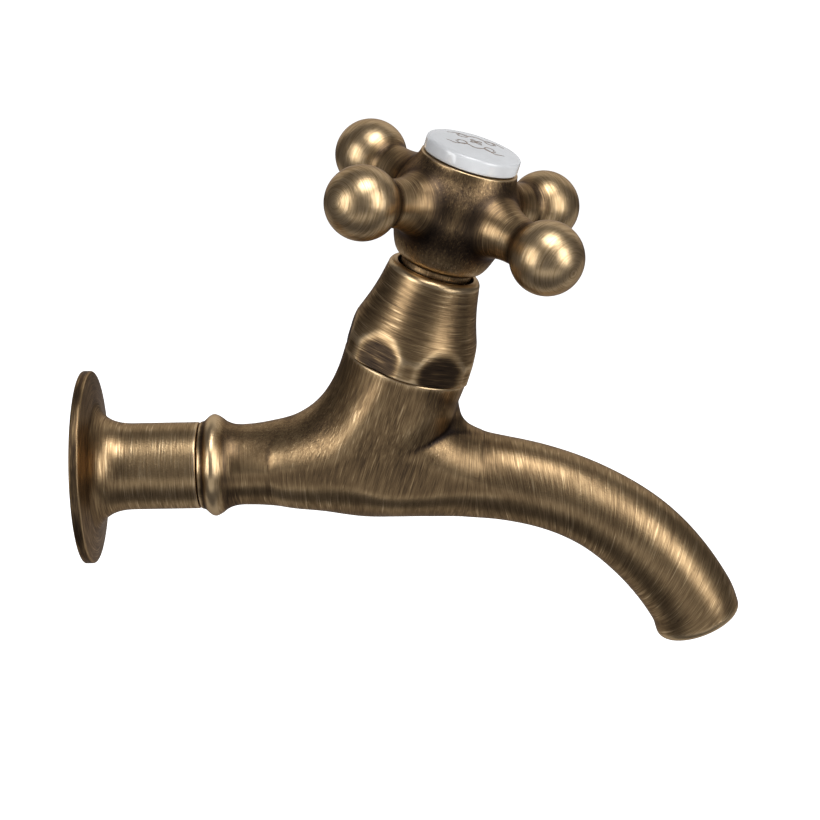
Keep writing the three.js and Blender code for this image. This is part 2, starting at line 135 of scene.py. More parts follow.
class Path:
    """Cubic Bezier pieces joined end to end, with the nearest place on them to any point."""

    def __init__(self, pieces, samples=120):
        places, tangents, bends, shares = [], [], [], []
        for number, piece in enumerate(pieces):
            last = number == len(pieces) - 1
            t = np.linspace(0, 1, samples + last, endpoint=last)[:, None]
            a, b, c, d = (np.asarray(point, float) for point in piece)
            place = a * (1 - t) ** 3 + 3 * b * t * (1 - t) ** 2 + 3 * c * t * t * (1 - t) + d * t ** 3
            first = 3 * ((b - a) * (1 - t) ** 2 + 2 * (c - b) * t * (1 - t) + (d - c) * t * t)
            second = 6 * ((c - 2 * b + a) * (1 - t) + (d - 2 * c + b) * t)
            speed = np.linalg.norm(first, axis=1, keepdims=True)
            tangent = first / speed
            bend = (second - (second * tangent).sum(1, keepdims=True) * tangent) / speed ** 2
            places.append(place)
            tangents.append(tangent)
            bends.append(bend)
            shares.append(number + t[:, 0])
        self.place = np.concatenate(places)
        self.tangent = np.concatenate(tangents)
        self.bend = np.concatenate(bends)
        self.bend[[0, -1]] = 0
        self.share = np.concatenate(shares) / len(pieces)
        steps = np.linalg.norm(np.diff(self.place, axis=0), axis=1)
        self.run = np.concatenate([[0], np.cumsum(steps)])
        self.length = self.run[-1]

    def nearest(self, x, z):
        """Length along the path, and height above it, of the nearest place to each point."""
        points = np.stack([x.ravel(), z.ravel()], axis=1)
        along, above = np.empty(len(points)), np.empty(len(points))
        for start in range(0, len(points), 20000):
            some = points[start:start + 20000]
            gap = ((some[:, None] - self.place) ** 2).sum(2)
            at = gap.argmin(1)
            offset = some - self.place[at]
            slack = 1 - (offset * self.bend[at]).sum(1)
            step = (offset * self.tangent[at]).sum(1) / np.maximum(slack, 0.2)
            foot = self.place[at] + self.tangent[at] * step[:, None]
            foot += self.bend[at] * (step ** 2 / 2)[:, None]
            tangent = self.tangent[at] + self.bend[at] * step[:, None]
            tangent /= np.linalg.norm(tangent, axis=1, keepdims=True)
            upward = np.stack([-tangent[:, 1], tangent[:, 0]], axis=1)
            along[start:start + 20000] = self.run[at] + step
            above[start:start + 20000] = ((some - foot) * upward).sum(1)
        return along.reshape(x.shape), above.reshape(x.shape)

    def at(self, length):
        """Place and tangent at a length along the path, as [x, z]."""
        place = np.array([np.interp(length, self.run, self.place[:, i]) for i in (0, 1)])
        tangent = np.array([np.interp(length, self.run, self.tangent[:, i]) for i in (0, 1)])
        return place, tangent / np.linalg.norm(tangent)


def smoothstep(value, low, high):
    t = np.clip((value - low) / (high - low), 0, 1)
    return t * t * (3 - 2 * t)


def through(value, pairs):
    """A smooth curve through [at, value] pairs."""
    knots, heights = np.array(pairs, float).T
    slopes = np.gradient(heights, knots)
    i = np.clip(np.searchsorted(knots, value) - 1, 0, len(knots) - 2)
    width = knots[i + 1] - knots[i]
    t = np.clip((value - knots[i]) / width, 0, 1)
    return (heights[i] * (1 + 2 * t) * (1 - t) ** 2 + slopes[i] * width * t * (1 - t) ** 2
            + heights[i + 1] * t * t * (3 - 2 * t) + slopes[i + 1] * width * t * t * (t - 1))


def smooth_min(a, b, width):
    overlap = np.maximum(width - np.abs(a - b), 0) / width
    return np.minimum(a, b) - overlap ** 2 * width / 4


# ---- meshes from sampled fields ------------------------------------------------------------------
def shifted(array, axis, keep_first):
    cut = [slice(None)] * 3
    cut[axis] = slice(None, -1) if keep_first else slice(1, None)
    return array[tuple(cut)]


def surface_net(field, low, spacing):
    """Points and quads round the zero level of a sampled field that is negative inside."""
    cells = tuple(size - 1 for size in field.shape)
    total = np.zeros(cells + (3,))
    count = np.zeros(cells)
    crossings = []
    for axis in range(3):
        near, far = shifted(field, axis, True), shifted(field, axis, False)
        edge = np.argwhere((near < 0) != (far < 0))
        a, b = near[tuple(edge.T)], far[tuple(edge.T)]
        place = edge.astype(float)
        place[:, axis] += a / (a - b)
        other = [i for i in range(3) if i != axis]
        round_edge = []
        for one, two in ((0, 0), (-1, 0), (-1, -1), (0, -1)):
            cell = edge.copy()
            cell[:, other[0]] += one
            cell[:, other[1]] += two
            good = ((cell >= 0) & (cell < cells)).all(1)
            np.add.at(total, tuple(cell[good].T), place[good])
            np.add.at(count, tuple(cell[good].T), 1)
            round_edge.append((cell, good))
        crossings.append((axis, a < 0, round_edge))
    active = count > 0
    number = np.full(cells, -1)
    number[active] = np.arange(active.sum())
    points = low + spacing * total[active] / count[active][:, None]
    quads = []
    for axis, leaving, round_edge in crossings:
        good = np.all([ok for _, ok in round_edge], axis=0)
        quad = np.stack([number[tuple(cell[good].T)] for cell, _ in round_edge], axis=1)
        turn = leaving[good] if axis != 1 else ~leaving[good]
        quad[~turn] = quad[~turn][:, ::-1]
        quads.append(quad)
    used, quads = np.unique(np.concatenate(quads), return_inverse=True)
    return points[used], quads.reshape(-1, 4)


def settle(points, quads, field, rounds=4):
    """Evens out the points along the surface and puts them exactly on the field's zero level."""
    sides = np.concatenate([quads[:, [i, (i + 1) % 4]] for i in range(4)])
    edges = np.unique(np.sort(sides, axis=1), axis=0)
    links = np.bincount(edges.ravel(), minlength=len(points))[:, None]

    def project(places):
        value, slope = field(places), np.empty_like(places)
        for axis in range(3):
            step = np.zeros(3)
            step[axis] = 0.02
            slope[:, axis] = (field(places + step) - field(places - step)) / 0.04
        square = (slope ** 2).sum(1)
        return places - (value / square)[:, None] * slope, slope / np.sqrt(square)[:, None]

    points, normal = project(points)
    for _ in range(rounds):
        mean = np.zeros_like(points)
        np.add.at(mean, edges[:, 0], points[edges[:, 1]])
        np.add.at(mean, edges[:, 1], points[edges[:, 0]])
        slide = mean / links - points
        slide -= (slide * normal).sum(1)[:, None] * normal
        points, normal = project(points + 0.6 * slide)
    return project(points)[0]


def sampled(field, low, high, on_grid=None):
    """A settled mesh of a field's zero level between two corners. on_grid(ticks) gives its values on the
    whole grid at once, where that is quicker than point by point."""
    ticks = [np.arange(a, b + VOXEL, VOXEL) for a, b in zip(low, high)]
    if on_grid is None:
        grid = np.stack(np.meshgrid(*ticks, indexing="ij"), axis=-1)
        values = field(grid.reshape(-1, 3)).reshape(grid.shape[:3])
    else:
        values = on_grid(ticks)
    points, quads = surface_net(values, np.array([tick[0] for tick in ticks]), VOXEL)
    return settle(points, quads, field), quads


# ---- meshes of revolution ------------------------------------------------------------------------
def rounded(corners, steps=4):
    """A closed outline of [radius, z] from corners [radius, z, rounding]; rounding may be left out."""
    outline = []
    for i, corner in enumerate(corners):
        here = np.array(corner[:2], float)
        bend = corner[2] if len(corner) > 2 else 0.0
        before = np.array(corners[i - 1][:2], float)
        after = np.array(corners[(i + 1) % len(corners)][:2], float)
        if bend == 0:
            outline.append(here)
            continue
        back, forth = before - here, after - here
        reach = min(bend, 0.45 * np.linalg.norm(back), 0.45 * np.linalg.norm(forth))
        start = here + back / np.linalg.norm(back) * reach
        end = here + forth / np.linalg.norm(forth) * reach
        for step in range(steps + 1):
            t = step / steps
            outline.append(start * (1 - t) ** 2 + 2 * here * t * (1 - t) + end * t * t)
    return np.array(outline)


def divided(outline, longest):
    """The same closed outline with no side longer than that."""
    dense = []
    for i, here in enumerate(outline):
        after = outline[(i + 1) % len(outline)]
        count = max(1, math.ceil(np.linalg.norm(after - here) / longest))
        if here[0] < 1e-6 and after[0] < 1e-6:
            count = 1
        dense += [here + (after - here) * k / count for k in range(count)]
    return np.array(dense)


def revolved(outline, segments=96, shape=None, longest=1.2):
    """Points, faces and brush coordinates of an outline turned about z. shape(radius, z, angle) may alter
    the radius. A brush coordinate is the length along the outline, and the place across it."""
    outline = divided(np.asarray(outline, float), longest)
    angle = np.arange(segments) * 2 * math.pi / segments
    length = np.concatenate([[0], np.cumsum(np.linalg.norm(np.diff(outline, axis=0), axis=1))])
    points, brush, rings = [], [], []
    for (radius, z), s in zip(outline, length):
        if radius < 1e-6:
            rings.append([len(points)])
            points.append([0, 0, z])
            brush.append([s, 0, 0])
            continue
        bent = np.full(segments, radius) if shape is None else shape(radius, z, angle)
        x, y = bent * np.cos(angle), bent * np.sin(angle)
        rings.append(list(range(len(points), len(points) + segments)))
        points += np.stack([x, y, np.full(segments, z)], axis=1).tolist()
        brush += np.stack([np.full(segments, s), x, y], axis=1).tolist()
    faces = []
    for i, ring in enumerate(rings):
        after = rings[(i + 1) % len(rings)]
        if len(ring) == 1 and len(after) == 1:
            continue
        for k in range(segments):
            n = (k + 1) % segments
            if len(ring) == 1:
                faces.append([ring[0], after[n], after[k]])
            elif len(after) == 1:
                faces.append([ring[k], ring[n], after[0]])
            else:
                faces.append([ring[k], ring[n], after[n], after[k]])
    return np.array(points, float), faces, np.array(brush)


def thread(pitch, height, low, high, inward=False):
    """A helical ridge on the part of a turned surface between two heights."""
    def shape(radius, z, angle):
        turn = z / pitch - angle / (2 * math.pi)
        wave = np.abs(2 * (turn - np.floor(turn)) - 1)
        crest = np.clip((wave - 0.12) / 0.76, 0, 1)
        fade = np.clip(min(z - low, high - z) / (0.6 * pitch), 0, 1)
        return radius + (1 - crest if inward else -crest) * height * fade
    return shape


def on_side(shape, inner, outer, low, high):
    """Limits a shape to the outline points between two radii and two heights."""
    def limited(radius, z, angle):
        if inner <= radius <= outer and low <= z <= high:
            return shape(radius, z, angle)
        return np.full(len(angle), float(radius))
    return limited


def polygon(sides, across, blend=0.15):
    """Cuts a turned surface back to flats, with a little rounding where they meet it."""
    def shape(radius, z, angle):
        part = math.pi / sides
        flat = across / 2 / np.cos((angle + part) % (2 * part) - part)
        return smooth_min(np.full(len(angle), float(radius)), flat, blend)
    return shape


# ---- making a piece from points ------------------------------------------------------------------
def placed(name, data):
    """A new object in the scene."""
    made = bpy.data.objects.new(name, data)
    bpy.context.scene.collection.objects.link(made)
    return made


def new_mesh(name, points, faces):
    """A mesh in metres from points in millimetres."""
    mesh = bpy.data.meshes.new(name)
    mesh.from_pydata((points * MM).tolist(), [], [list(map(int, face)) for face in faces])
    return mesh


def spots_of(mesh):
    """A mesh's points in millimetres."""
    spots = np.empty(len(mesh.vertices) * 3)
    mesh.vertices.foreach_get("co", spots)
    return spots.reshape(-1, 3) / MM


def move_to_stem(mesh, spots):
    mesh.vertices.foreach_set("co", (on_stem(spots) * MM).ravel())


def edges_of(mesh):
    edges = np.empty(len(mesh.edges) * 2, np.int32)
    mesh.edges.foreach_get("vertices", edges)
    return edges.reshape(-1, 2)


def neighbours_mean(mesh, values):
    edges = edges_of(mesh)
    count = np.maximum(np.bincount(edges.ravel(), minlength=len(values)), 1)
    total = np.zeros_like(values)
    np.add.at(total, edges[:, 0], values[edges[:, 1]])
    np.add.at(total, edges[:, 1], values[edges[:, 0]])
    return total / (count[:, None] if values.ndim > 1 else count)


def edge_wear(mesh, reach=6):
    """How sharply the surface turns outward at each point, in 1/mm, spread a little along it."""
    points = spots_of(mesh)
    normals = np.empty(len(mesh.vertices) * 3)
    mesh.vertices.foreach_get("normal", normals)
    normals = normals.reshape(-1, 3)
    lift = ((points - neighbours_mean(mesh, points)) * normals).sum(1)
    edges = edges_of(mesh)
    square = ((points[edges[:, 0]] - points[edges[:, 1]]) ** 2).sum(1)
    total = np.bincount(edges.ravel(), np.repeat(square, 2), minlength=len(points))
    count = np.maximum(np.bincount(edges.ravel(), minlength=len(points)), 1)
    turn = np.clip(4 * lift / np.maximum(total / count, 1e-3), -2, 2)
    for _ in range(reach):
        turn = 0.5 * turn + 0.5 * neighbours_mean(mesh, turn)
    return turn


def store(mesh, name, values):
    kind = "FLOAT_VECTOR" if values.ndim > 1 else "FLOAT"
    layer = mesh.attributes.new(name, kind, "POINT")
    layer.data.foreach_set("vector" if values.ndim > 1 else "value", values.astype(np.float32).ravel())


def piece(node, points, faces, body, slot, place=in_place, brush=None, darkening_and_painted_shade=None):
    """A visible piece that replaces a CAD node. brush is its brush coordinates, and the last argument says
    how much darker its
    colour is painted: painted shade in places, and painted highlight where it is negative."""
    mesh = new_mesh(node + "_visual", place(points), faces)
    mesh.validate()
    finish(mesh, node, body, slot, brush, darkening_and_painted_shade=darkening_and_painted_shade)


def outward(mesh):
    """Turns every face of a closed mesh outward."""
    made = bmesh.new()
    made.from_mesh(mesh)
    bmesh.ops.recalc_face_normals(made, faces=made.faces)
    if made.calc_volume(signed=True) < 0:
        bmesh.ops.reverse_faces(made, faces=made.faces)
    made.to_mesh(mesh)
    made.free()


def finish(mesh, node, body, slot, brush=None, lay=None, second=None, darkening_and_painted_shade=None):
    count = len(mesh.vertices)
    outward(mesh)
    mesh.name = node + "_visual"
    mesh.shade_smooth()
    mesh.set_sharp_from_angle(angle=math.radians(SHARP_DEGREES))
    places = spots_of(mesh)
    store(mesh, "brush", places if brush is None else brush)
    store(mesh, "second", places if second is None else second)
    store(mesh, "lay", np.zeros(count) if lay is None else lay)
    store(mesh, "wear", edge_wear(mesh))
    store(mesh, "darkening_and_painted_shade", np.zeros(count) if darkening_and_painted_shade is None else darkening_and_painted_shade)
    mesh.materials.append(MATERIALS[slot])
    made = placed(mesh.name, mesh)
    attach(made, body)
    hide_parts(node)


def loose(points, faces):
    """A shape to cut with."""
    mesh = new_mesh("cutter", points, faces)
    outward(mesh)
    return placed("cutter", mesh)


def cut(mesh, cutters):
    """The mesh less each cutter, which is used up."""
    thing = placed("uncut", mesh)
    for cutter in cutters:
        modifier = thing.modifiers.new("cut", "BOOLEAN")
        modifier.operation = "DIFFERENCE"
        modifier.solver = "EXACT"
        modifier.object = cutter
    bpy.context.view_layer.update()
    evaluated = thing.evaluated_get(bpy.context.evaluated_depsgraph_get())
    result = bpy.data.meshes.new_from_object(evaluated)
    for used in (thing, *cutters):
        old = used.data
        bpy.data.objects.remove(used)
        bpy.data.meshes.remove(old)
    return result


def swept(path, radius_at, lengths, segments=40):
    """A closed round bar along a path, with a ring at each of the lengths."""
    angle = np.arange(segments) * 2 * math.pi / segments
    points, faces = [], []
    for length in lengths:
        place, tangent = path.at(length)
        upward = np.array([-tangent[1], tangent[0]])
        radius = radius_at(length)
        flat = place + radius * np.cos(angle)[:, None] * upward
        points += np.stack([flat[:, 0], radius * np.sin(angle), flat[:, 1]], axis=1).tolist()
    for i in range(len(lengths) - 1):
        for k in range(segments):
            n = (k + 1) % segments
            low, high = i * segments, (i + 1) * segments
            faces.append([low + k, low + n, high + n, high + k])
    faces.append(list(range(segments)))
    faces.append(list(range(len(points) - segments, len(points))))
    return np.array(points), faces


# ---- ends turned on a sampled casting ------------------------------------------------------------
class Casting:
    """A sampled mesh whose ends are trimmed flat and turned to outlines about their own axes."""

    def __init__(self, points, quads):
        mesh = bpy.data.meshes.new("casting")
        mesh.from_pydata(points.tolist(), [], quads.tolist())
        self.made = bmesh.new()
        self.made.from_mesh(mesh)
        bpy.data.meshes.remove(mesh)

    def trim(self, origin, axis):
        """Cuts away what lies past a plane, and returns the loop of points left on it."""
        geometry = [*self.made.verts, *self.made.edges, *self.made.faces]
        bmesh.ops.bisect_plane(self.made, geom=geometry, dist=0.02, plane_co=Vector(origin),
                               plane_no=Vector(axis), clear_outer=True)
        rim = [e for e in self.made.edges if len(e.link_faces) == 1
               and all(abs((v.co - Vector(origin)).dot(Vector(axis))) < 0.05 for v in e.verts)]
        joined = {}
        for edge in rim:
            for vertex in edge.verts:
                joined.setdefault(vertex, []).append(edge.other_vert(vertex))
        start = next(iter(joined))
        loop, before, here = [start], None, start
        while True:
            after = next(v for v in joined[here] if v is not before)
            if after is start:
                return loop
            loop.append(after)
            before, here = here, after

    def turn(self, loop, origin, side, axis, stations):
        """Carries a loop on through stations, each a function of (radius, angle) giving (radius, z), and
        closes the last one."""
        origin, side, axis = np.array(origin), np.array(side), np.array(axis)
        across = np.cross(axis, side)
        places = np.array([v.co for v in loop]) - origin
        x, y = places @ side, places @ across
        radius, angle = np.hypot(x, y), np.arctan2(y, x)
        for station in stations:
            r, z = station(radius, angle)
            flat = (r * np.cos(angle))[:, None] * side + (r * np.sin(angle))[:, None] * across
            spots = origin + flat + np.multiply.outer(np.broadcast_to(z, r.shape), axis)
            ring = [self.made.verts.new(spot) for spot in spots]
            for i in range(len(ring)):
                self.made.faces.new([loop[i - 1], loop[i], ring[i], ring[i - 1]])
            loop = ring
        self.made.faces.new(loop)

    def mesh(self, place=in_place):
        """The closed mesh in metres, put in place."""
        bmesh.ops.recalc_face_normals(self.made, faces=self.made.faces)
        spots = place(np.array([v.co for v in self.made.verts])) * MM
        for vertex, spot in zip(self.made.verts, spots):
            vertex.co = spot
        mesh = bpy.data.meshes.new("casting")
        self.made.to_mesh(mesh)
        self.made.free()
        return mesh


def rim_round(size, steps=5):
    """Stations that round a loop over by a quarter circle, from z = -size to z = 0."""
    def station(t):
        return lambda r, a: (r - size * (1 - math.cos(t)), -size + size * math.sin(t))
    return [station(math.pi / 2 * k / steps) for k in range(1, steps + 1)]


def circle(radius, z, keep=0.0):
    """A station at a true circle; keep leaves part of the loop's own unevenness."""
    return lambda r, a: (radius + keep * (r - r.mean()), z)


# ---- materials -----------------------------------------------------------------------------------
class Graph:
    """A material's nodes, made by short calls."""

    def __init__(self, name):
        self.material = bpy.data.materials.new(name)
        self.material.use_nodes = True
        self.tree = self.material.node_tree
        self.tree.nodes.clear()
        self.shader = self.node("ShaderNodeBsdfPrincipled")
        output = self.node("ShaderNodeOutputMaterial")
        self.link(self.shader.outputs["BSDF"], output.inputs["Surface"])

    def node(self, kind, **settings):
        made = self.tree.nodes.new(kind)
        for name, value in settings.items():
            setattr(made, name, value)
        return made

    def link(self, start, end):
        self.tree.links.new(start, end)

    def put(self, value, socket):
        if isinstance(value, bpy.types.NodeSocket):
            self.link(value, socket)
        else:
            socket.default_value = value

    def attribute(self, name):
        made = self.node("ShaderNodeAttribute", attribute_name=name)
        return made.outputs["Vector" if name in ("brush", "second") else "Fac"]

    def math(self, operation, a, b=0.0, c=0.0, clamp=False):
        made = self.node("ShaderNodeMath", operation=operation, use_clamp=clamp)
        for value, socket in zip((a, b, c), made.inputs):
            self.put(value, socket)
        return made.outputs[0]

    def noise(self, vector, scale, detail=3.0):
        """Noise stretched by a different scale along each coordinate."""
        spread = self.node("ShaderNodeVectorMath", operation="MULTIPLY")
        self.link(vector, spread.inputs[0])
        spread.inputs[1].default_value = scale
        made = self.node("ShaderNodeTexNoise")
        made.inputs["Scale"].default_value = 1.0
        made.inputs["Detail"].default_value = detail
        made.inputs["Roughness"].default_value = 0.55
        self.link(spread.outputs[0], made.inputs["Vector"])
        return made.outputs["Fac"]

    def mix(self, factor, a, b):
        made = self.node("ShaderNodeMix", data_type="FLOAT")
        for value, name in ((factor, "Factor"), (a, "A"), (b, "B")):
            self.put(value, made.inputs[name])
        return made.outputs["Result"]

    def ramp(self, value, stops):
        made = self.node("ShaderNodeValToRGB")
        ramp = made.color_ramp
        while len(ramp.elements) < len(stops):
            ramp.elements.new(0.5)
        for element, (at, colour) in zip(ramp.elements, stops):
            element.position = at
            element.color = (*colour, 1)
        self.link(value, made.inputs["Fac"])
        return made.outputs["Color"]

    def map(self, value, low, high, to_low, to_high):
        made = self.node("ShaderNodeMapRange")
        names = ("From Min", "From Max", "To Min", "To Max")
        for number, name in zip((low, high, to_low, to_high), names):
            made.inputs[name].default_value = number
        self.link(value, made.inputs["Value"])
        return made.outputs["Result"]

    def bump(self, height, distance, strength):
        made = self.node("ShaderNodeBump")
        made.inputs["Strength"].default_value = strength
        made.inputs["Distance"].default_value = distance
        self.link(height, made.inputs["Height"])
        self.link(made.outputs["Normal"], self.shader.inputs["Normal"])

    def set(self, **values):
        for name, value in values.items():
            self.put(value, self.shader.inputs[name.replace("_", " ")])


def brushed(graph, wide, narrow, long):
    """Brush strokes: across the first brush coordinate, or along the stem where lay is 1."""
    brush, second, lay = (graph.attribute(name) for name in ("brush", "second", "lay"))
    strokes = []
    for scale, detail in ((wide, 2.0), (narrow, 3.0)):
        one = graph.noise(brush, (scale, long, long), detail)
        two = graph.noise(second, (scale, scale, long), detail)
        strokes.append(graph.mix(lay, one, two))
    return strokes


def antique_brass():
    graph = Graph("antique_brass")
    wide, narrow = brushed(graph, 1.5, 5.2, 0.2)
    scratch, _ = brushed(graph, 2.6, 2.6, 0.11)
    blotch = graph.noise(graph.attribute("second"), (0.10, 0.10, 0.10), 3.0)
    tone = graph.math("MULTIPLY_ADD", narrow, 0.7, -0.35)
    tone = graph.math("ADD", tone, graph.math("MULTIPLY_ADD", wide, 0.5, -0.25))
    tone = graph.math("ADD", tone, graph.math("MULTIPLY_ADD", blotch, 0.3, -0.15))
    tone = graph.math("ADD", tone, graph.map(scratch, 0.58, 0.70, 0, 0.26))
    tone = graph.math("ADD", tone, graph.math("MULTIPLY", graph.attribute("wear"), 1.5))
    # Colour painted darker by this attribute: painted shade on the flange rim's outer side, darker on the
    # bell's flats and where the handle's arms meet the hub; its negative values paint the handle's outer
    # arms and balls lighter, a painted highlight.
    tone = graph.math("ADD", tone, graph.math("MULTIPLY", graph.attribute("darkening_and_painted_shade"), -0.38))
    tone = graph.math("ADD", tone, 0.5, clamp=True)
    colour = graph.ramp(tone, [
        (0.0, (0.036, 0.026, 0.021)), (0.3, (0.105, 0.070, 0.042)), (0.55, (0.25, 0.165, 0.085)),
        (0.8, (0.45, 0.31, 0.165)), (1.0, (0.68, 0.50, 0.29)),
    ])
    graph.set(Base_Color=colour, Metallic=1.0, Roughness=graph.map(tone, 0, 1, 0.44, 0.33),
              Specular_Tint=(0.55, 0.50, 0.48, 1))
    graph.bump(graph.math("ADD", narrow, wide), 0.00006, 0.55)
    return graph.material


def machined_brass():
    graph = Graph("machined_brass")
    wide, narrow = brushed(graph, 1.5, 5.0, 0.02)
    tone = graph.math("MULTIPLY_ADD", narrow, 0.9, graph.math("MULTIPLY_ADD", wide, 0.6, -0.25))
    colour = graph.ramp(tone, [(0.2, (0.50, 0.34, 0.13)), (0.8, (0.78, 0.58, 0.27))])
    graph.set(Base_Color=colour, Metallic=1.0, Roughness=graph.map(tone, 0, 1, 0.36, 0.2))
    graph.bump(narrow, 0.00002, 0.5)
    return graph.material


def steel():
    graph = Graph("zinc_steel")
    wide, narrow = brushed(graph, 1.5, 5.0, 0.1)
    colour = graph.ramp(wide, [(0.3, (0.50, 0.51, 0.53)), (0.7, (0.68, 0.69, 0.70))])
    graph.set(Base_Color=colour, Metallic=1.0, Roughness=graph.map(narrow, 0, 1, 0.25, 0.42))
    graph.bump(narrow, 0.00002, 0.4)
    return graph.material


def dull(name, dark, light, rough, grain, depth):
    """A dull material with an even grain, for rubber, fibre and packing."""
    graph = Graph(name)
    place = graph.attribute("second")
    coarse = graph.noise(place, (0.4, 0.4, 0.4), 3.0)
    fine = graph.noise(place, (grain, grain, grain), 4.0)
    colour = graph.ramp(graph.math("MULTIPLY_ADD", fine, 0.5, graph.math("MULTIPLY", coarse, 0.5)),
                        [(0.25, dark), (0.75, light)])
    graph.set(Base_Color=colour, Roughness=graph.map(fine, 0, 1, rough - 0.12, rough + 0.1))
    graph.bump(fine, depth, 0.6)
    return graph.material


def porcelain():
    graph = Graph("porcelain")
    place = graph.attribute("second")
    cloud = graph.noise(place, (0.25, 0.25, 0.25), 3.0)
    ripple = graph.noise(place, (0.5, 0.5, 0.5), 2.0)
    colour = graph.ramp(cloud, [(0.3, (0.54, 0.55, 0.56)), (0.7, (0.60, 0.61, 0.62))])
    graph.set(Base_Color=colour, Roughness=graph.map(ripple, 0, 1, 0.10, 0.2), Coat_Weight=0.6,
              Coat_Roughness=0.04)
    graph.bump(ripple, 0.00004, 0.25)
    return graph.material


def ink():
    graph = Graph("fired_ink")
    place = graph.attribute("second")
    patch = graph.noise(place, (1.2, 1.2, 1.2), 3.0)
    colour = graph.ramp(patch, [(0.35, (0.10, 0.065, 0.045)), (0.7, (0.26, 0.19, 0.14))])
    graph.set(Base_Color=colour, Roughness=graph.map(patch, 0, 1, 0.25, 0.45))
    return graph.material


MATERIALS = {
    "antique_brass": antique_brass(),
    "machined_brass": machined_brass(),
    "zinc_steel": steel(),
    "black_rubber": dull("black_rubber", (0.012, 0.012, 0.013), (0.03, 0.03, 0.03), 0.6, 6.0, 0.00002),
    "red_fibre": dull("red_fibre", (0.20, 0.045, 0.03), (0.36, 0.10, 0.07), 0.75, 3.0, 0.00005),
    "white_packing": dull("white_packing", (0.62, 0.60, 0.54), (0.78, 0.76, 0.70), 0.6, 2.0, 0.00004),
    "porcelain": porcelain(),
    "fired_ink": ink(),
}


# ---- the inlet: wall plate and sleeve ------------------------------------------------------------
def wall_flange():
    counterbore = SPIGOT_RADIUS + GAP
    fillet = [(10.0 + 5.0 * (1 - t) ** 2, 3.1 * (1 - t) ** 2 + 2 * 4.4 * t * (1 - t) + 11.5 * t * t)
              for t in np.linspace(0, 1, 15)]
    outline = rounded([
        (FLANGE_RADIUS, 0, 0.35), (FLANGE_RADIUS, FLANGE_RIM, 0.55), *fillet,
        (SLEEVE_RADIUS, SLEEVE_LENGTH, 0.35), (counterbore, SLEEVE_LENGTH, 0.3),
        (counterbore, SPIGOT_START - GAP, 0.15), (WATERWAY, SPIGOT_START - GAP, 0.2),
        (WATERWAY, SOCKET_DEPTH, 0.2), (SOCKET_RADIUS, SOCKET_DEPTH), (SOCKET_RADIUS, 1.1),
        (SOCKET_RADIUS + 1.1, 0, 0.1),
    ])
    ridge = on_side(thread(THREAD_PITCH, THREAD_HEIGHT, 1.1, 13.4, inward=True),
                    SOCKET_RADIUS - 0.01, SOCKET_RADIUS + 0.01, 1.0, 13.5)
    points, faces, brush = revolved(outline, 160, ridge, 0.22)
    edge = np.hypot(points[:, 0], points[:, 1])
    # Painted shade: the rim's outer side is painted darker, standing in for the shade on it.
    darkening_and_painted_shade = 0.8 * smoothstep(edge, FLANGE_RADIUS - 0.2, FLANGE_RADIUS - 0.02)
    piece("wall_flange", points, faces, "root", "antique_brass", along_x, brush, darkening_and_painted_shade)


def turned(node, corners, body, slot, segments=96, shape=None, longest=1.2):
    """A visible piece turned about the stem."""
    points, faces, brush = revolved(rounded(corners), segments, shape, longest)
    piece(node, points, faces, body, slot, on_stem, brush)


def ring_piece(node, inner, outer, low, high, body, slot, place=on_stem, soft=0.25):
    outline = rounded([(inner, low, soft), (outer, low, soft), (outer, high, soft), (inner, high, soft)])
    points, faces, brush = revolved(outline)
    piece(node, points, faces, body, slot, place, brush)


def inlet_seals():
    ring_piece("inlet_gasket", 5.2, SOCKET_RADIUS - GAP, SOCKET_DEPTH - 1.8, SOCKET_DEPTH - GAP, "root",
               "red_fibre", along_x)
    ring_piece("sleeve_o_ring", SEAL_RADIUS + GAP, SPIGOT_RADIUS, SEAL_START + GAP, SEAL_END - GAP, "root",
               "black_rubber", along_x, 0.9)


# ---- the body casting ----------------------------------------------------------------------------
SPOUT_START = np.array([89.9, -3.2])
SPOUT_SLOPE = heading(12.95)
SPOUT_END = np.array([140.15, -35.64])
SPOUT_DROP = heading(61.6)
OUTLET = np.array([142.1, -41.5])
OUTLET_WAY = heading(OUTLET_ANGLE)
COLUMN_TOP = STEM_ORIGIN[[0, 2]]
COLUMN_WAY = STEM_AXIS[[0, 2]]

RUN = Path([
    ([RUN_START, 0], [53.6, 0], SPOUT_START - 27.3 * SPOUT_SLOPE, SPOUT_START),
    (SPOUT_START, SPOUT_START + 8.15 * SPOUT_SLOPE, SPOUT_END - 33.75 * SPOUT_DROP, SPOUT_END),
    (SPOUT_END, SPOUT_END + 2 * SPOUT_DROP, OUTLET - 2 * OUTLET_WAY, OUTLET),
])
COLUMN = Path([([43.9, 0], [53.3, 0], COLUMN_TOP - 23.9 * COLUMN_WAY, COLUMN_TOP)])
RUN_RADII = [(RUN_START, 9.3), (40, 9.45), (48, 10.5), (66, 13.0), (80, 11.76), (92, 9.99), (104, 9.51),
             (118, 9.47), (130, 10.01), (142, 10.1)]
BEAD_RADII = [
    (26, 9.75), (27.0, 10.0), (28.2, 10.35), (29.1, 11.2), (29.7, 11.6), (30.5, 11.79), (31.3, 11.5),
    (32.0, 11.1), (33.2, 10.2), (34.7, 9.58), (36.5, 9.33), (38.5, 9.34),
]


def run_radius(along):
    """The run's radius at a length along its path: the bead, then the belly and the spout."""
    x = np.where(along < 0, RUN_START + along, np.interp(along, RUN.run, RUN.place[:, 0]))
    swell = through(x, RUN_RADII)
    bead = through(x, BEAD_RADII)
    return np.where(x < BEAD_END, bead, bead + (swell - bead) * smoothstep(x, BEAD_END, SWELL_START))


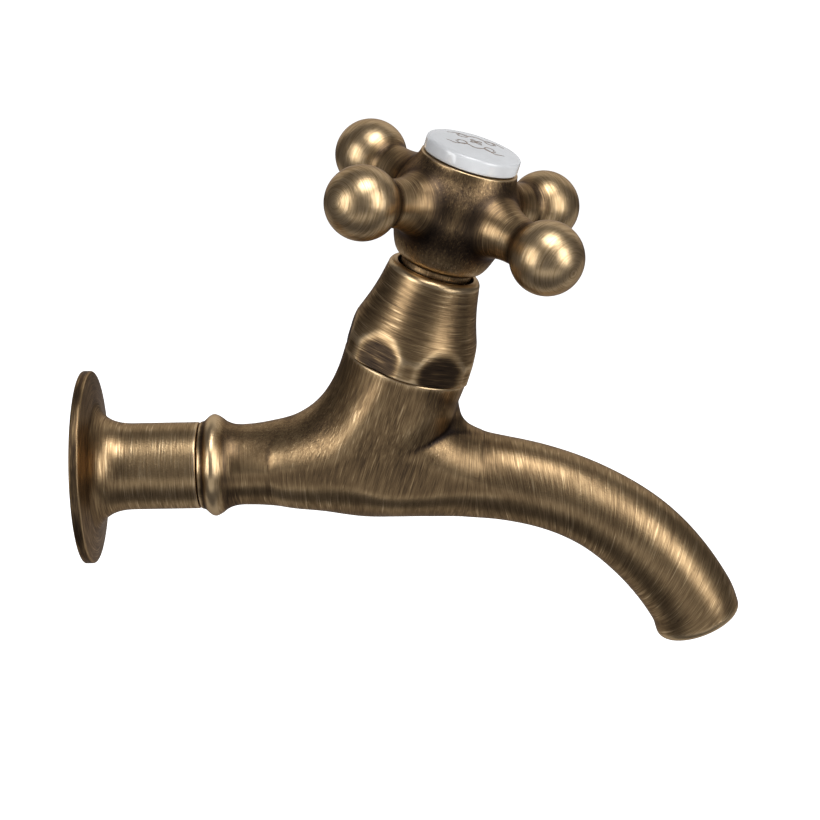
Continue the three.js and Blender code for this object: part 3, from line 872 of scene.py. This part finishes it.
def body_shape(x, y, z, along, above, up_along, up_above):
    """Negative inside the casting. The run and the column are joined in the mirror plane, more widely
    the deeper inside, and the joined outline is then given a round section."""
    share = np.interp(up_along, COLUMN.run, COLUMN.share)
    column_radius = COLUMN_FOOT + (COLUMN_RADIUS - COLUMN_FOOT) * share ** 0.4
    radius = run_radius(along)
    run, column = np.abs(above) - radius, np.abs(up_above) - column_radius
    height = (x - COLUMN_TOP[0]) * COLUMN_WAY[0] + (z - COLUMN_TOP[1]) * COLUMN_WAY[1]
    crotch = 9 * smoothstep(x, 62, 80) * (1 - smoothstep(height, -8, 0))
    depth = np.maximum(-np.minimum(run, column), 0)
    apart = smoothstep(np.abs(above - up_above), 1, 9)
    outline = smooth_min(run, column, 0.3 + crotch + depth * (0.8 + 1.7 * apart))
    soft_run, soft_column = np.hypot(above, 4) - radius, np.hypot(up_above, 4) - column_radius
    radius = radius + (column_radius - radius) * smoothstep(soft_run - soft_column, 1 - 7 * apart, 10)
    return np.hypot(y, np.maximum(radius + outline, 0)) - radius


def body_paths(x, z):
    """What body_shape asks for of the two paths, at places in the mirror plane."""
    return *RUN.nearest(x, z), *COLUMN.nearest(x, z)


def body_field(points):
    x, y, z = points.T
    return body_shape(x, y, z, *body_paths(x, z))


def body_on_grid(ticks):
    """The body's field on a whole grid, whose layers share what is found for the mirror plane."""
    x, z = (part[:, None, :] for part in np.meshgrid(ticks[0], ticks[2], indexing="ij"))
    return body_shape(x, ticks[1][None, :, None], z, *body_paths(x, z))


def body_brush(points):
    """Strokes round the inlet neck, leaning round the spout, and up the column."""
    along, above = RUN.nearest(points[:, 0], points[:, 2])
    lean = 0.45 * smoothstep(points[:, 0], 84, 100)
    first = np.stack([along + lean * above, points[:, 1], above], axis=1)
    second = to_stem(points)
    upward = smoothstep(second[:, 2], -34, -24) * (1 - smoothstep(second[:, 0], 8, 22))
    return first, second, upward


def stem_spot(radius, z):
    return on_stem(np.array([[radius, 0, z]]))[0][[0, 2]]


def tap_body():
    casting = Casting(*sampled(body_field, (26.0, -15.5, -48.0), (154.5, 15.5, 31.0), body_on_grid))

    rim = 0.45
    top = casting.trim(on_stem(np.array([[0, 0, -rim]]))[0], STEM_AXIS)
    stations = rim_round(rim) + [
        circle(13.6, 0, 0.8), circle(12.6, 0, 0.5), circle(11.6, 0, 0.2), circle(BONNET_BORE + 0.4, 0),
        circle(BONNET_BORE, -0.4), circle(BONNET_BORE, -BONNET_DEPTH),
        circle(CHAMBER_RADIUS, -BONNET_DEPTH),
        circle(CHAMBER_RADIUS, CHAMBER_FLOOR), circle(SEAT_HOLE, CHAMBER_FLOOR),
        circle(SEAT_HOLE, CHAMBER_FLOOR - 3.5), circle(SIDE_PASSAGE, CHAMBER_FLOOR - 3.5),
        circle(SIDE_PASSAGE, CHAMBER_FLOOR - 8),
    ]
    casting.turn(top, STEM_ORIGIN, STEM_SIDE, STEM_AXIS, stations)

    outlet_axis = np.array([OUTLET_WAY[0], 0, OUTLET_WAY[1]])
    outlet_side = np.array([-OUTLET_WAY[1], 0, OUTLET_WAY[0]])
    outlet = np.array([OUTLET[0], 0, OUTLET[1]])
    end = casting.trim(outlet - OUTLET_ROUND * outlet_axis, outlet_axis)
    casting.turn(end, outlet, outlet_side, outlet_axis,
                 rim_round(OUTLET_ROUND, 7) + [circle(8.6, 0, 0.5), circle(8.2, 0)])

    face = SLEEVE_LENGTH + GAP
    nose = casting.trim((face + 0.3, 0, 0), (-1, 0, 0))
    groove = [(SPIGOT_RADIUS, face), (SPIGOT_RADIUS, SEAL_END), (SEAL_RADIUS, SEAL_END),
              (SEAL_RADIUS, SEAL_START), (SPIGOT_RADIUS, SEAL_START),
              (SPIGOT_RADIUS, SPIGOT_START + 0.4), (SPIGOT_RADIUS - 0.4, SPIGOT_START), (3.0, SPIGOT_START)]
    stations = [lambda r, a: (r - 0.1, -(face + 0.1)), lambda r, a: (r - 0.3, -face)]
    stations += [circle(radius, -x) for radius, x in groove]
    casting.turn(nose, (0, 0, 0), (0, 0, 1), (-1, 0, 0), stations)

    spout_bore = Path([
        (stem_spot(6.5, -10.5), stem_spot(13, -15.5), SPOUT_START - 2 * SPOUT_SLOPE,
         SPOUT_START + 5 * SPOUT_SLOPE),
        (SPOUT_START + 5 * SPOUT_SLOPE, SPOUT_START + 13 * SPOUT_SLOPE,
         SPOUT_END - 31 * SPOUT_DROP, SPOUT_END),
        (SPOUT_END, SPOUT_END + 2 * SPOUT_DROP, OUTLET - 2 * OUTLET_WAY, OUTLET + 0.5 * OUTLET_WAY),
    ])
    length = spout_bore.length

    def bore_at(along):
        wide = SPOUT_BORE_START + (SPOUT_BORE - SPOUT_BORE_START) * smoothstep(along / length, 0, 0.35)
        wide += (OUTLET_BORE - SPOUT_BORE) * smoothstep(along / length, 0.75, 0.9)
        return wide + max(0.0, along - (length - 0.9))
    lengths = [*np.linspace(0, length - 0.9, 70), length]
    bore = loose(*swept(spout_bore, bore_at, lengths, 64))
    waterway = rounded([(0, SPIGOT_START - 1), (WATERWAY, SPIGOT_START - 1), (WATERWAY, 30), (5.8, 44),
                        (5.8, 71.5, 2), (3.8, 73.5, 1), (0, 73.5)])
    inlet_points, inlet_faces, _ = revolved(waterway, 64)
    inlet = loose(along_x(inlet_points) - [0, 0, 0.7], inlet_faces)
    mesh = cut(casting.mesh(), [bore, inlet])

    brush, second, upward = body_brush(spots_of(mesh))
    finish(mesh, "tap_body", "root", "antique_brass", brush, upward, second)


# ---- the valve and its headwork ------------------------------------------------------------------
def valve_parts():
    seat_top = CHAMBER_FLOOR - 0.2
    seat_low = CHAMBER_FLOOR - 3.2
    corners = [(4.5, seat_low, 0.2), (SEAT_HOLE - GAP, seat_low, 0.3), (SEAT_HOLE - GAP, seat_top, 0.2),
               (5.7, seat_top, 0.1), (5.4, seat_top + 0.8, 0.15), (4.5, seat_top + 0.8, 0.15)]
    turned("valve_seat", corners, "root", "machined_brass")

    low = CHAMBER_FLOOR + 0.6 + GAP
    high = low + 2.4
    ring_piece("seat_washer", 1.8, 6.4, low, high, "valve", "black_rubber", on_stem, 0.4)
    disc = high + GAP
    corners = [
        (0, low - 3.2), (1.5, low - 3.2, 0.3), (1.5, disc, 0.1), (6.9, disc, 0.15), (6.9, disc + 1.5, 0.4),
        (2.6, disc + 1.5, 0.3), (2.6, -5.2, 0.35), (0, -5.2),
    ]
    ridge = on_side(thread(0.5, 0.15, low - 3.2, disc - 0.3), 1.4, 1.6, low - 3.1, disc - 0.3)
    turned("jumper", corners, "valve", "machined_brass", 64, ridge, 0.2)

    corners = [(1.8, low - 2.5, 0.1), (3.2, low - 2.5, 0.25), (3.5, low - 1.9), (3.5, low - GAP),
               (1.8, low - GAP, 0.1)]
    turned("washer_nut", corners, "valve", "machined_brass",
           72, on_side(polygon(6, WASHER_NUT_HEX), 2.9, 4, -40, 0), 0.3)


def headwork():
    ring_piece("headwork_washer", 10.7, 12.5, GAP, 1.0, "root", "red_fibre", on_stem, 0.1)
    foot = GAP - BONNET_DEPTH + 0.2
    corners = [
        (FOOT_RADIUS + GAP, foot, 0.2), (BONNET_BORE - GAP, foot, 0.5), (BONNET_BORE - GAP, 1.3, 0.1),
        (12.3, 1.3, 0.3), (12.8, 2.0), (12.8, 5.8), (12.3, 6.5, 0.3), (BARREL_RADIUS, 6.5, 0.3),
        (BARREL_RADIUS, BARREL_TOP, 0.4), (GLAND_RADIUS + GAP, BARREL_TOP, 0.3),
        (GLAND_RADIUS + GAP, GLAND_FLOOR, 0.1), (SPINDLE_RADIUS + GAP, GLAND_FLOOR, 0.1),
        (SPINDLE_RADIUS + GAP, 6.8), (FOOT_RADIUS + GAP, 6.8),
    ]
    ridge = thread(1.0, 0.5, foot, 0.9)

    def shape(radius, z, angle):
        if 9.9 < radius < 10.3 and z < 0.9:
            return ridge(radius, z, angle)
        if radius > 11.9 and 1.2 < z < 6.6:
            return polygon(6, HEADWORK_HEX)(radius, z, angle)
        return np.full(len(angle), float(radius))
    turned("headwork_body", corners, "root", "machined_brass", 120, shape, 0.25)

    ring_piece("gland_packing", SPINDLE_RADIUS + GAP, GLAND_RADIUS, GLAND_FLOOR + GAP, 14.4, "root",
               "white_packing")
    ring_piece("gland_follower", SPINDLE_RADIUS + GAP, GLAND_RADIUS, 14.7, 15.9, "root",
               "machined_brass", on_stem, 0.15)

    bore = SPINDLE_RADIUS + GAP
    corners = [
        (bore, 16.2, 0.2), (GLAND_RADIUS, 16.2, 0.3), (GLAND_RADIUS, BARREL_TOP + GAP),
        (7.9, BARREL_TOP + GAP, 0.2), (8.2, 19.7), (8.2, 21.6), (7.7, 22.2, 0.3), (bore, 22.2, 0.3),
    ]
    turned("gland_nut", corners, "root", "machined_brass",
           120, on_side(polygon(6, GLAND_HEX), 7, 9, 19, 23), 0.3)
    ring_piece("cover_o_ring", BARREL_RADIUS + GAP, 10.4, 6.9, 8.4, "root", "black_rubber",
               on_stem, 0.6)


BELL_OUTLINE = [
    (0.3, 15.4), (3.0, 15.4), (5.0, 15.32), (6.2, 14.95), (8, 14.32), (9.8, 13.66), (11.3, 13.14),
    (13, 12.58), (15.8, 11.8), (19, 11.12), (21.0, 10.76), (22.0, 10.55),
]


def bell_cover():
    rise = np.linspace(0.9, 21.5, 84)
    side = [(r, z) for r, z in zip(through(rise, BELL_OUTLINE), rise)]
    shoulder = [(10.66 - 1.45 * (1 - math.cos(a)), 21.5 + 1.5 * math.sin(a))
                for a in np.linspace(0, math.pi / 2, 9)[1:]]
    outline = rounded([
        (13.0, GAP, 0.2), (BELL_BASE, GAP, 0.45), *side, *shoulder, (BELL_BORE, BELL_TOP, 0.3),
        (BELL_BORE, 12.5, 0.5), (13.0, 7.0, 0.5),
    ])
    flats = polygon(6, BELL_FLATS, 0.5)
    shape = on_side(flats, 13.9, 16, 0, 12)
    points, faces, brush = revolved(outline, 360, shape, 0.35)
    angle = np.arctan2(points[:, 1], points[:, 0])
    part = math.pi / 6
    whole = through(points[:, 2], BELL_OUTLINE) * np.cos((angle + part) % (2 * part) - part)
    # Colour painted darker on the flats of the cover.
    darkening_and_painted_shade = 0.85 * smoothstep(whole, BELL_FLATS / 2, BELL_FLATS / 2 + 0.45)
    piece("bell_cover", points, faces, "root", "antique_brass", on_stem, brush, darkening_and_painted_shade=darkening_and_painted_shade)


# ---- the handle ----------------------------------------------------------------------------------
HUB_RADII = [
    (22.5, 5.0), (24.3, 8.3), (24.8, 9.2), (25.2, 9.8), (25.9, 10.4), (26.8, 10.9), (28, 11.4),
    (29.5, 11.8), (33, 12.0), (39, 11.9), (45, 11.4), (48.5, 11.1), (52, 10.8),
]
ARM_RADII = [(0, 9.6), (8, 9.5), (10, 9.2), (13, 7.4), (16.4, 5.95), (19, 5.45), (21, 5.3), (26, 5.3)]


def handle_parts(points):
    """The hub's field and the arms' field."""
    x, y, z = points.T
    slope = (through(z + 0.1, HUB_RADII) - through(z - 0.1, HUB_RADII)) / 0.2
    hub = (np.hypot(x, y) - through(z, HUB_RADII)) / np.sqrt(1 + slope ** 2)
    turned_x, turned_y = (x + y) / math.sqrt(2), (x - y) / math.sqrt(2)
    arms = None
    for reach, across in ((np.abs(turned_x), turned_y), (np.abs(turned_y), turned_x)):
        out = np.hypot(across, z - HANDLE_HEIGHT)
        neck = np.maximum(out - through(reach, ARM_RADII), (reach - 24) / 1.5)
        ball = np.hypot(out, reach - ARM_LENGTH) - BALL_RADIUS
        arm = smooth_min(neck, ball, 1.2)
        arms = arm if arms is None else smooth_min(arms, arm, 5)
    return hub, arms


def handle_field(points):
    hub, arms = handle_parts(points)
    return smooth_min(hub, arms, 2.4)


def handle_brush(points):
    """Strokes round each arm, and up and down the hub."""
    x, y, z = points.T
    turned_x, turned_y = (x + y) / math.sqrt(2), (x - y) / math.sqrt(2)
    first_arm = np.abs(turned_x) > np.abs(turned_y)
    reach = np.where(first_arm, turned_x, turned_y)
    across = np.where(first_arm, turned_y, turned_x)
    offset = np.where(first_arm, 0, 40)
    around = np.arctan2(np.hypot(across, z - HANDLE_HEIGHT), np.abs(reach) - ARM_LENGTH) * BALL_RADIUS
    along = np.where(np.abs(reach) > 22, around, np.abs(reach) + 4)
    first = np.stack([np.sign(reach) * along + offset, across, z], axis=1)
    hubward = 1 - smoothstep(np.abs(reach), 11, 15)
    return first, points, hubward


def cross_handle():
    reach = 29.8
    casting = Casting(*sampled(handle_field, (-reach, -reach, 23.0), (reach, reach, 50.5)))
    up, side, origin = (0, 0, 1), (1, 0, 0), (0, 0, HUB_TOP)
    rim = 0.3
    top = casting.trim((0, 0, HUB_TOP - rim), up)
    wall = HUB_RECESS
    stations = rim_round(rim) + [
        circle(10.3, 0, 0.6), circle(wall + 0.25, 0), circle(wall, -0.25),
        circle(wall, CUP_BOTTOM - GAP - HUB_TOP), circle(5.2, CUP_BOTTOM - GAP - HUB_TOP),
        circle(5.2, WEB_TOP - HUB_TOP),
    ]
    casting.turn(top, origin, side, up, stations)

    bottom = casting.trim((0, 0, HUB_BOTTOM + 0.15), (0, 0, -1))
    half = SQUARE_HALF + GAP

    def square(z, grow=0.0):
        return lambda r, a: ((half + grow) / np.maximum(np.abs(np.cos(a)), np.abs(np.sin(a))), z)
    ceiling = HUB_BOTTOM - (SQUARE_TOP + GAP)
    stations = [
        lambda r, a: (r - 0.1, -0.04), circle(8.2, 0.0, 0.2), circle(8.1, 1.4), circle(7.8, 1.7),
        circle(5.3, 1.7), circle(5.0, 1.4), circle(5.0, 0.0), square(0.0, 0.3), square(-0.3),
        square(ceiling),
    ]
    casting.turn(bottom, (0, 0, HUB_BOTTOM), side, (0, 0, -1), stations)
    screw_hole = [(0, SQUARE_TOP - 1), (SCREW_HOLE, SQUARE_TOP - 1), (SCREW_HOLE, WEB_TOP + 1),
                  (0, WEB_TOP + 1)]
    hole_points, hole_faces, _ = revolved(screw_hole, 48)
    mesh = cut(casting.mesh(), [loose(hole_points, hole_faces)])

    spots = spots_of(mesh)
    brush, second, hubward = handle_brush(spots)
    hub, arms = handle_parts(spots)
    # Colour painted darker where the arms meet the hub.
    arm_joint_dark_and_painted_ball_light = 1 - smoothstep(np.abs(hub - arms), 0.5, 6.5)
    arm_joint_dark_and_painted_ball_light *= smoothstep(spots[:, 2], 26, 33) * (1 - smoothstep(spots[:, 2], 42, 48))
    # Painted highlight: the outer arms and balls are painted lighter, standing in for the light on them.
    arm_joint_dark_and_painted_ball_light -= 0.1 * smoothstep(np.hypot(spots[:, 0], spots[:, 1]), 18, 26)
    move_to_stem(mesh, spots)
    finish(mesh, "cross_handle", "handle", "antique_brass", brush, hubward, second, arm_joint_dark_and_painted_ball_light)


def spindle():
    foot = HUB_BOTTOM - GAP
    corners = [
        (0, -4.5), (2.9, -4.5, 0.2), (2.9, -12.8, 0.2), (FOOT_RADIUS, -12.8, 0.3), (FOOT_RADIUS, 1.5, 0.4),
        (SPINDLE_RADIUS, 1.5, 0.2), (SPINDLE_RADIUS, foot, 0.4), (4.0, foot, 0.1), (4.0, SQUARE_TOP, 0.5),
        (2.0, SQUARE_TOP, 0.2), (2.0, 29.5, 0.1), (0, 29.5),
    ]
    ridge = thread(SPINDLE_PITCH, 0.5, -11.5, 0.5)

    def shape(radius, z, angle):
        if 4.9 < radius < 5.1:
            return ridge(radius, z, angle)
        if 3.4 < radius < 4.1 and z > foot:
            return polygon(4, 2 * SQUARE_HALF, 0.1)(radius, z, angle)
        return np.full(len(angle), float(radius))
    turned("spindle", corners, "handle", "machined_brass", 96, shape, 0.3)


def spring_washer():
    """A flat coil of just under one turn."""
    steps, points, faces = 90, [], []
    for step in range(steps + 1):
        angle = math.radians(6) + step / steps * math.radians(348)
        lift = WEB_TOP + GAP + 0.12 * step / steps
        for radius, z in ((2.4, 0), (4.4, 0), (4.4, 0.85), (2.4, 0.85)):
            points.append([radius * math.cos(angle), radius * math.sin(angle), lift + z])
    for step in range(steps):
        for k in range(4):
            n = (k + 1) % 4
            faces.append([4 * step + k, 4 * step + n, 4 * step + 4 + n, 4 * step + 4 + k])
    faces += [[0, 1, 2, 3], [4 * steps + k for k in range(4)]]
    piece("spring_washer", np.array(points), faces, "handle", "zinc_steel", on_stem)


def handle_screw():
    seat = WEB_TOP + 1.6
    head = [(4.2 * math.cos(a), seat + 0.9 + 0.9 * math.sin(a))
            for a in np.linspace(0, math.pi / 2, 10)[:-1]]
    outline = rounded([(0, 30), (1.7, 30, 0.4), (1.7, seat, 0.1), (4.2, seat, 0.2), *head, (0, seat + 1.8)])
    ridge = on_side(thread(0.7, 0.22, 30.2, seat - 1.5), 1.6, 1.8, 30.2, seat - 1)
    points, faces, _ = revolved(outline, 72, ridge, 0.2)
    mesh = new_mesh("screw", points, faces)
    slot = bmesh.new()
    bmesh.ops.create_cube(slot, size=1)
    bmesh.ops.scale(slot, vec=(10, 1, 4), verts=slot.verts)
    bmesh.ops.translate(slot, vec=(0, 0, seat + 2.9), verts=slot.verts)
    corners = np.array([v.co for v in slot.verts])
    sides = [[v.index for v in face.verts] for face in slot.faces]
    slot.free()
    mesh = cut(mesh, [loose(corners, sides)])
    spots = spots_of(mesh)
    move_to_stem(mesh, spots)
    finish(mesh, "handle_screw", "handle", "zinc_steel", spots[:, [2, 0, 1]])


def index_parts():
    wall, groove = HUB_RECESS - 0.4, 8.3
    corners = [
        (0, CUP_BOTTOM), (wall, CUP_BOTTOM, 0.4), (wall, 46.0, 0.1), (groove, 46.0), (groove, 47.8),
        (wall, 47.8, 0.1), (wall, 48.7, 0.2), (7.6, 48.7, 0.2), (7.6, CUP_BOTTOM + 0.8, 0.2),
        (0, CUP_BOTTOM + 0.8),
    ]
    turned("index_cup", corners, "handle", "antique_brass", 120, None, 0.5)
    ring_piece("index_o_ring", groove + GAP, 9.3, 46.3, 47.5, "handle", "black_rubber", on_stem, 0.3)

    edge = HUB_TOP + GAP
    crown = [(r, edge + crown_height(r)) for r in np.linspace(CROWN_RADIUS, 0, 14)]
    outline = rounded([
        (0, CUP_BOTTOM + 1.1), (7.3, CUP_BOTTOM + 1.1, 0.3), (7.3, edge, 0.2), (INDEX_RADIUS, edge, 0.55),
        (INDEX_RADIUS, edge + 2.35 + INDEX_RAISE, 1.5), *crown[:-1], (0, edge + crown_height(0)),
    ], 7)
    points, faces, brush = revolved(outline, 180, None, 0.5)
    piece("index_disc", points, faces, "handle", "porcelain", on_stem, brush)
    ornament(edge)


def crown_height(radius):
    """Height of the index's glazed crown above its edge."""
    return 3.5 + INDEX_RAISE - 0.75 * (radius / CROWN_RADIUS) ** 2.2


def ornament(edge):
    """Fired line ornament: two mirrored scrolls on either side of a small four-petalled flower."""
    lines = []
    turns = np.linspace(0, 1, 40)
    for flip in (1, -1):
        for side in (1, -1):
            spin = math.radians(430) * turns
            radius = 1.75 * (1 - 0.78 * turns)
            x = 4.6 - 1.75 + radius * np.cos(spin) + 0.9 * turns
            y = 2.5 + radius * np.sin(spin)
            lines.append(np.stack([side * flip * x, flip * y], axis=1))
        sweep = np.linspace(-1, 1, 50)
        wave = 3.9 + 0.55 * np.cos(3 * math.pi * sweep)
        lines.append(np.stack([flip * 6.6 * sweep, flip * wave], axis=1))
    for petal in range(4):
        turn = np.linspace(0, 2 * math.pi, 30)
        out = 0.95 + 0.75 * np.cos(turn)
        wide = 0.42 * np.sin(turn)
        angle = math.radians(45 + 90 * petal)
        lines.append(np.stack([out * math.cos(angle) - wide * math.sin(angle),
                               out * math.sin(angle) + wide * math.cos(angle)], axis=1))
    points, faces = [], []
    for line in lines:
        along = np.gradient(line, axis=0)
        along /= np.linalg.norm(along, axis=1, keepdims=True)
        across = np.stack([-along[:, 1], along[:, 0]], axis=1)
        count = len(line)
        width = 0.07 + 0.16 * np.sin(np.linspace(0, math.pi, count)) ** 0.6
        base = len(points)
        for i in range(count):
            for share, lift in ((-1, -0.05), (-0.6, 0.045), (0.6, 0.045), (1, -0.05)):
                spot = line[i] + across[i] * width[i] * share
                points.append([*spot, edge + crown_height(np.hypot(*spot)) + lift])
        for i in range(count - 1):
            for k in range(4):
                n = (k + 1) % 4
                low, high = base + 4 * i, base + 4 * i + 4
                faces.append([low + k, low + n, high + n, high + k])
        faces.append([base + k for k in range(4)])
        faces.append([base + 4 * (count - 1) + k for k in range(4)])
    spots = np.array(points)
    mesh = new_mesh("index_ornament", on_stem(spots), faces)
    outward(mesh)
    store(mesh, "second", spots)
    mesh.materials.append(MATERIALS["fired_ink"])
    thing = placed("index_ornament", mesh)
    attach(thing, "handle")


wall_flange()
inlet_seals()
tap_body()
valve_parts()
headwork()
bell_cover()
spindle()
cross_handle()
spring_washer()
handle_screw()
index_parts()


# ---- stage, light and camera ---------------------------------------------------------------------
def floor():
    graph = Graph("pale_floor")
    shade = graph.noise(graph.node("ShaderNodeNewGeometry").outputs["Position"], (2, 2, 2), 2.0)
    graph.set(Base_Color=graph.ramp(shade, [(0.3, (0.86, 0.86, 0.86)), (0.7, (0.9, 0.9, 0.9))]),
              Roughness=graph.map(shade, 0, 1, 0.75, 0.9), Emission_Color=(1, 1, 1, 1),
              Emission_Strength=1.0)
    size, level = 6.0, -0.35
    mesh = bpy.data.meshes.new("floor")
    corners = [(x * size, y * size, level) for x, y in ((-1, -1), (1, -1), (1, 1), (-1, 1))]
    mesh.from_pydata(corners, [], [(0, 1, 2, 3)])
    mesh.materials.append(graph.material)
    thing = placed("floor", mesh)
    thing.visible_glossy = False


def softbox(name, place, size, power, colour=(1, 1, 1)):
    light = bpy.data.lights.new(name, "AREA")
    light.shape = "RECTANGLE"
    light.size, light.size_y = size
    light.energy = power
    light.color = colour
    thing = placed(name, light)
    thing.location = place
    aim = Vector((0.08, 0, 0.01)) - Vector(place)
    thing.rotation_euler = aim.to_track_quat("-Z", "Y").to_euler()
    thing.visible_camera = False


def lights():
    world = bpy.data.worlds.new("studio")
    world.use_nodes = True
    world.node_tree.nodes["Background"].inputs["Color"].default_value = (0.09, 0.09, 0.10, 1)
    bpy.context.scene.world = world
    softbox("overhead", (0.30, -0.30, 0.9), (0.6, 0.45), 5.5)
    softbox("front_right", (0.93, -0.60, 0.35), (0.5, 0.9), 5.5)
    softbox("front_left", (-0.75, -0.7, 0.35), (0.5, 0.8), 5)
    softbox("low_front", (0.1, -0.72, -0.34), (1.2, 0.3), 0.7)
    softbox("behind", (0.1, 1.0, 0.45), (2.0, 1.1), 4.5)
    softbox("under", (0.1, 0.25, -0.34), (1.4, 0.7), 1.2)


def camera():
    """Looks a little down at the tap's side, rolled slightly."""
    target = Vector((0.07579, 0, 0.01261))
    azimuth, elevation, roll = (math.radians(degrees) for degrees in (2.53, 20.16, -1.94))
    distance = 0.57165
    lens = bpy.data.cameras.new("camera")
    lens.lens = 109.7
    lens.sensor_width = 36
    lens.clip_start = 0.01
    thing = placed("camera", lens)
    away = Vector((math.sin(azimuth) * math.cos(elevation), -math.cos(azimuth) * math.cos(elevation),
                   math.sin(elevation)))
    level = Vector((math.cos(azimuth), math.sin(azimuth), 0))
    raised = away.cross(level)
    right = level * math.cos(roll) + raised * math.sin(roll)
    upright = away.cross(right)
    turn = Matrix((right, upright, away)).transposed().to_4x4()
    thing.matrix_world = Matrix.Translation(target + distance * away) @ turn
    bpy.context.scene.camera = thing


floor()
lights()
camera()
bpy.context.scene.view_settings.view_transform = "Standard"
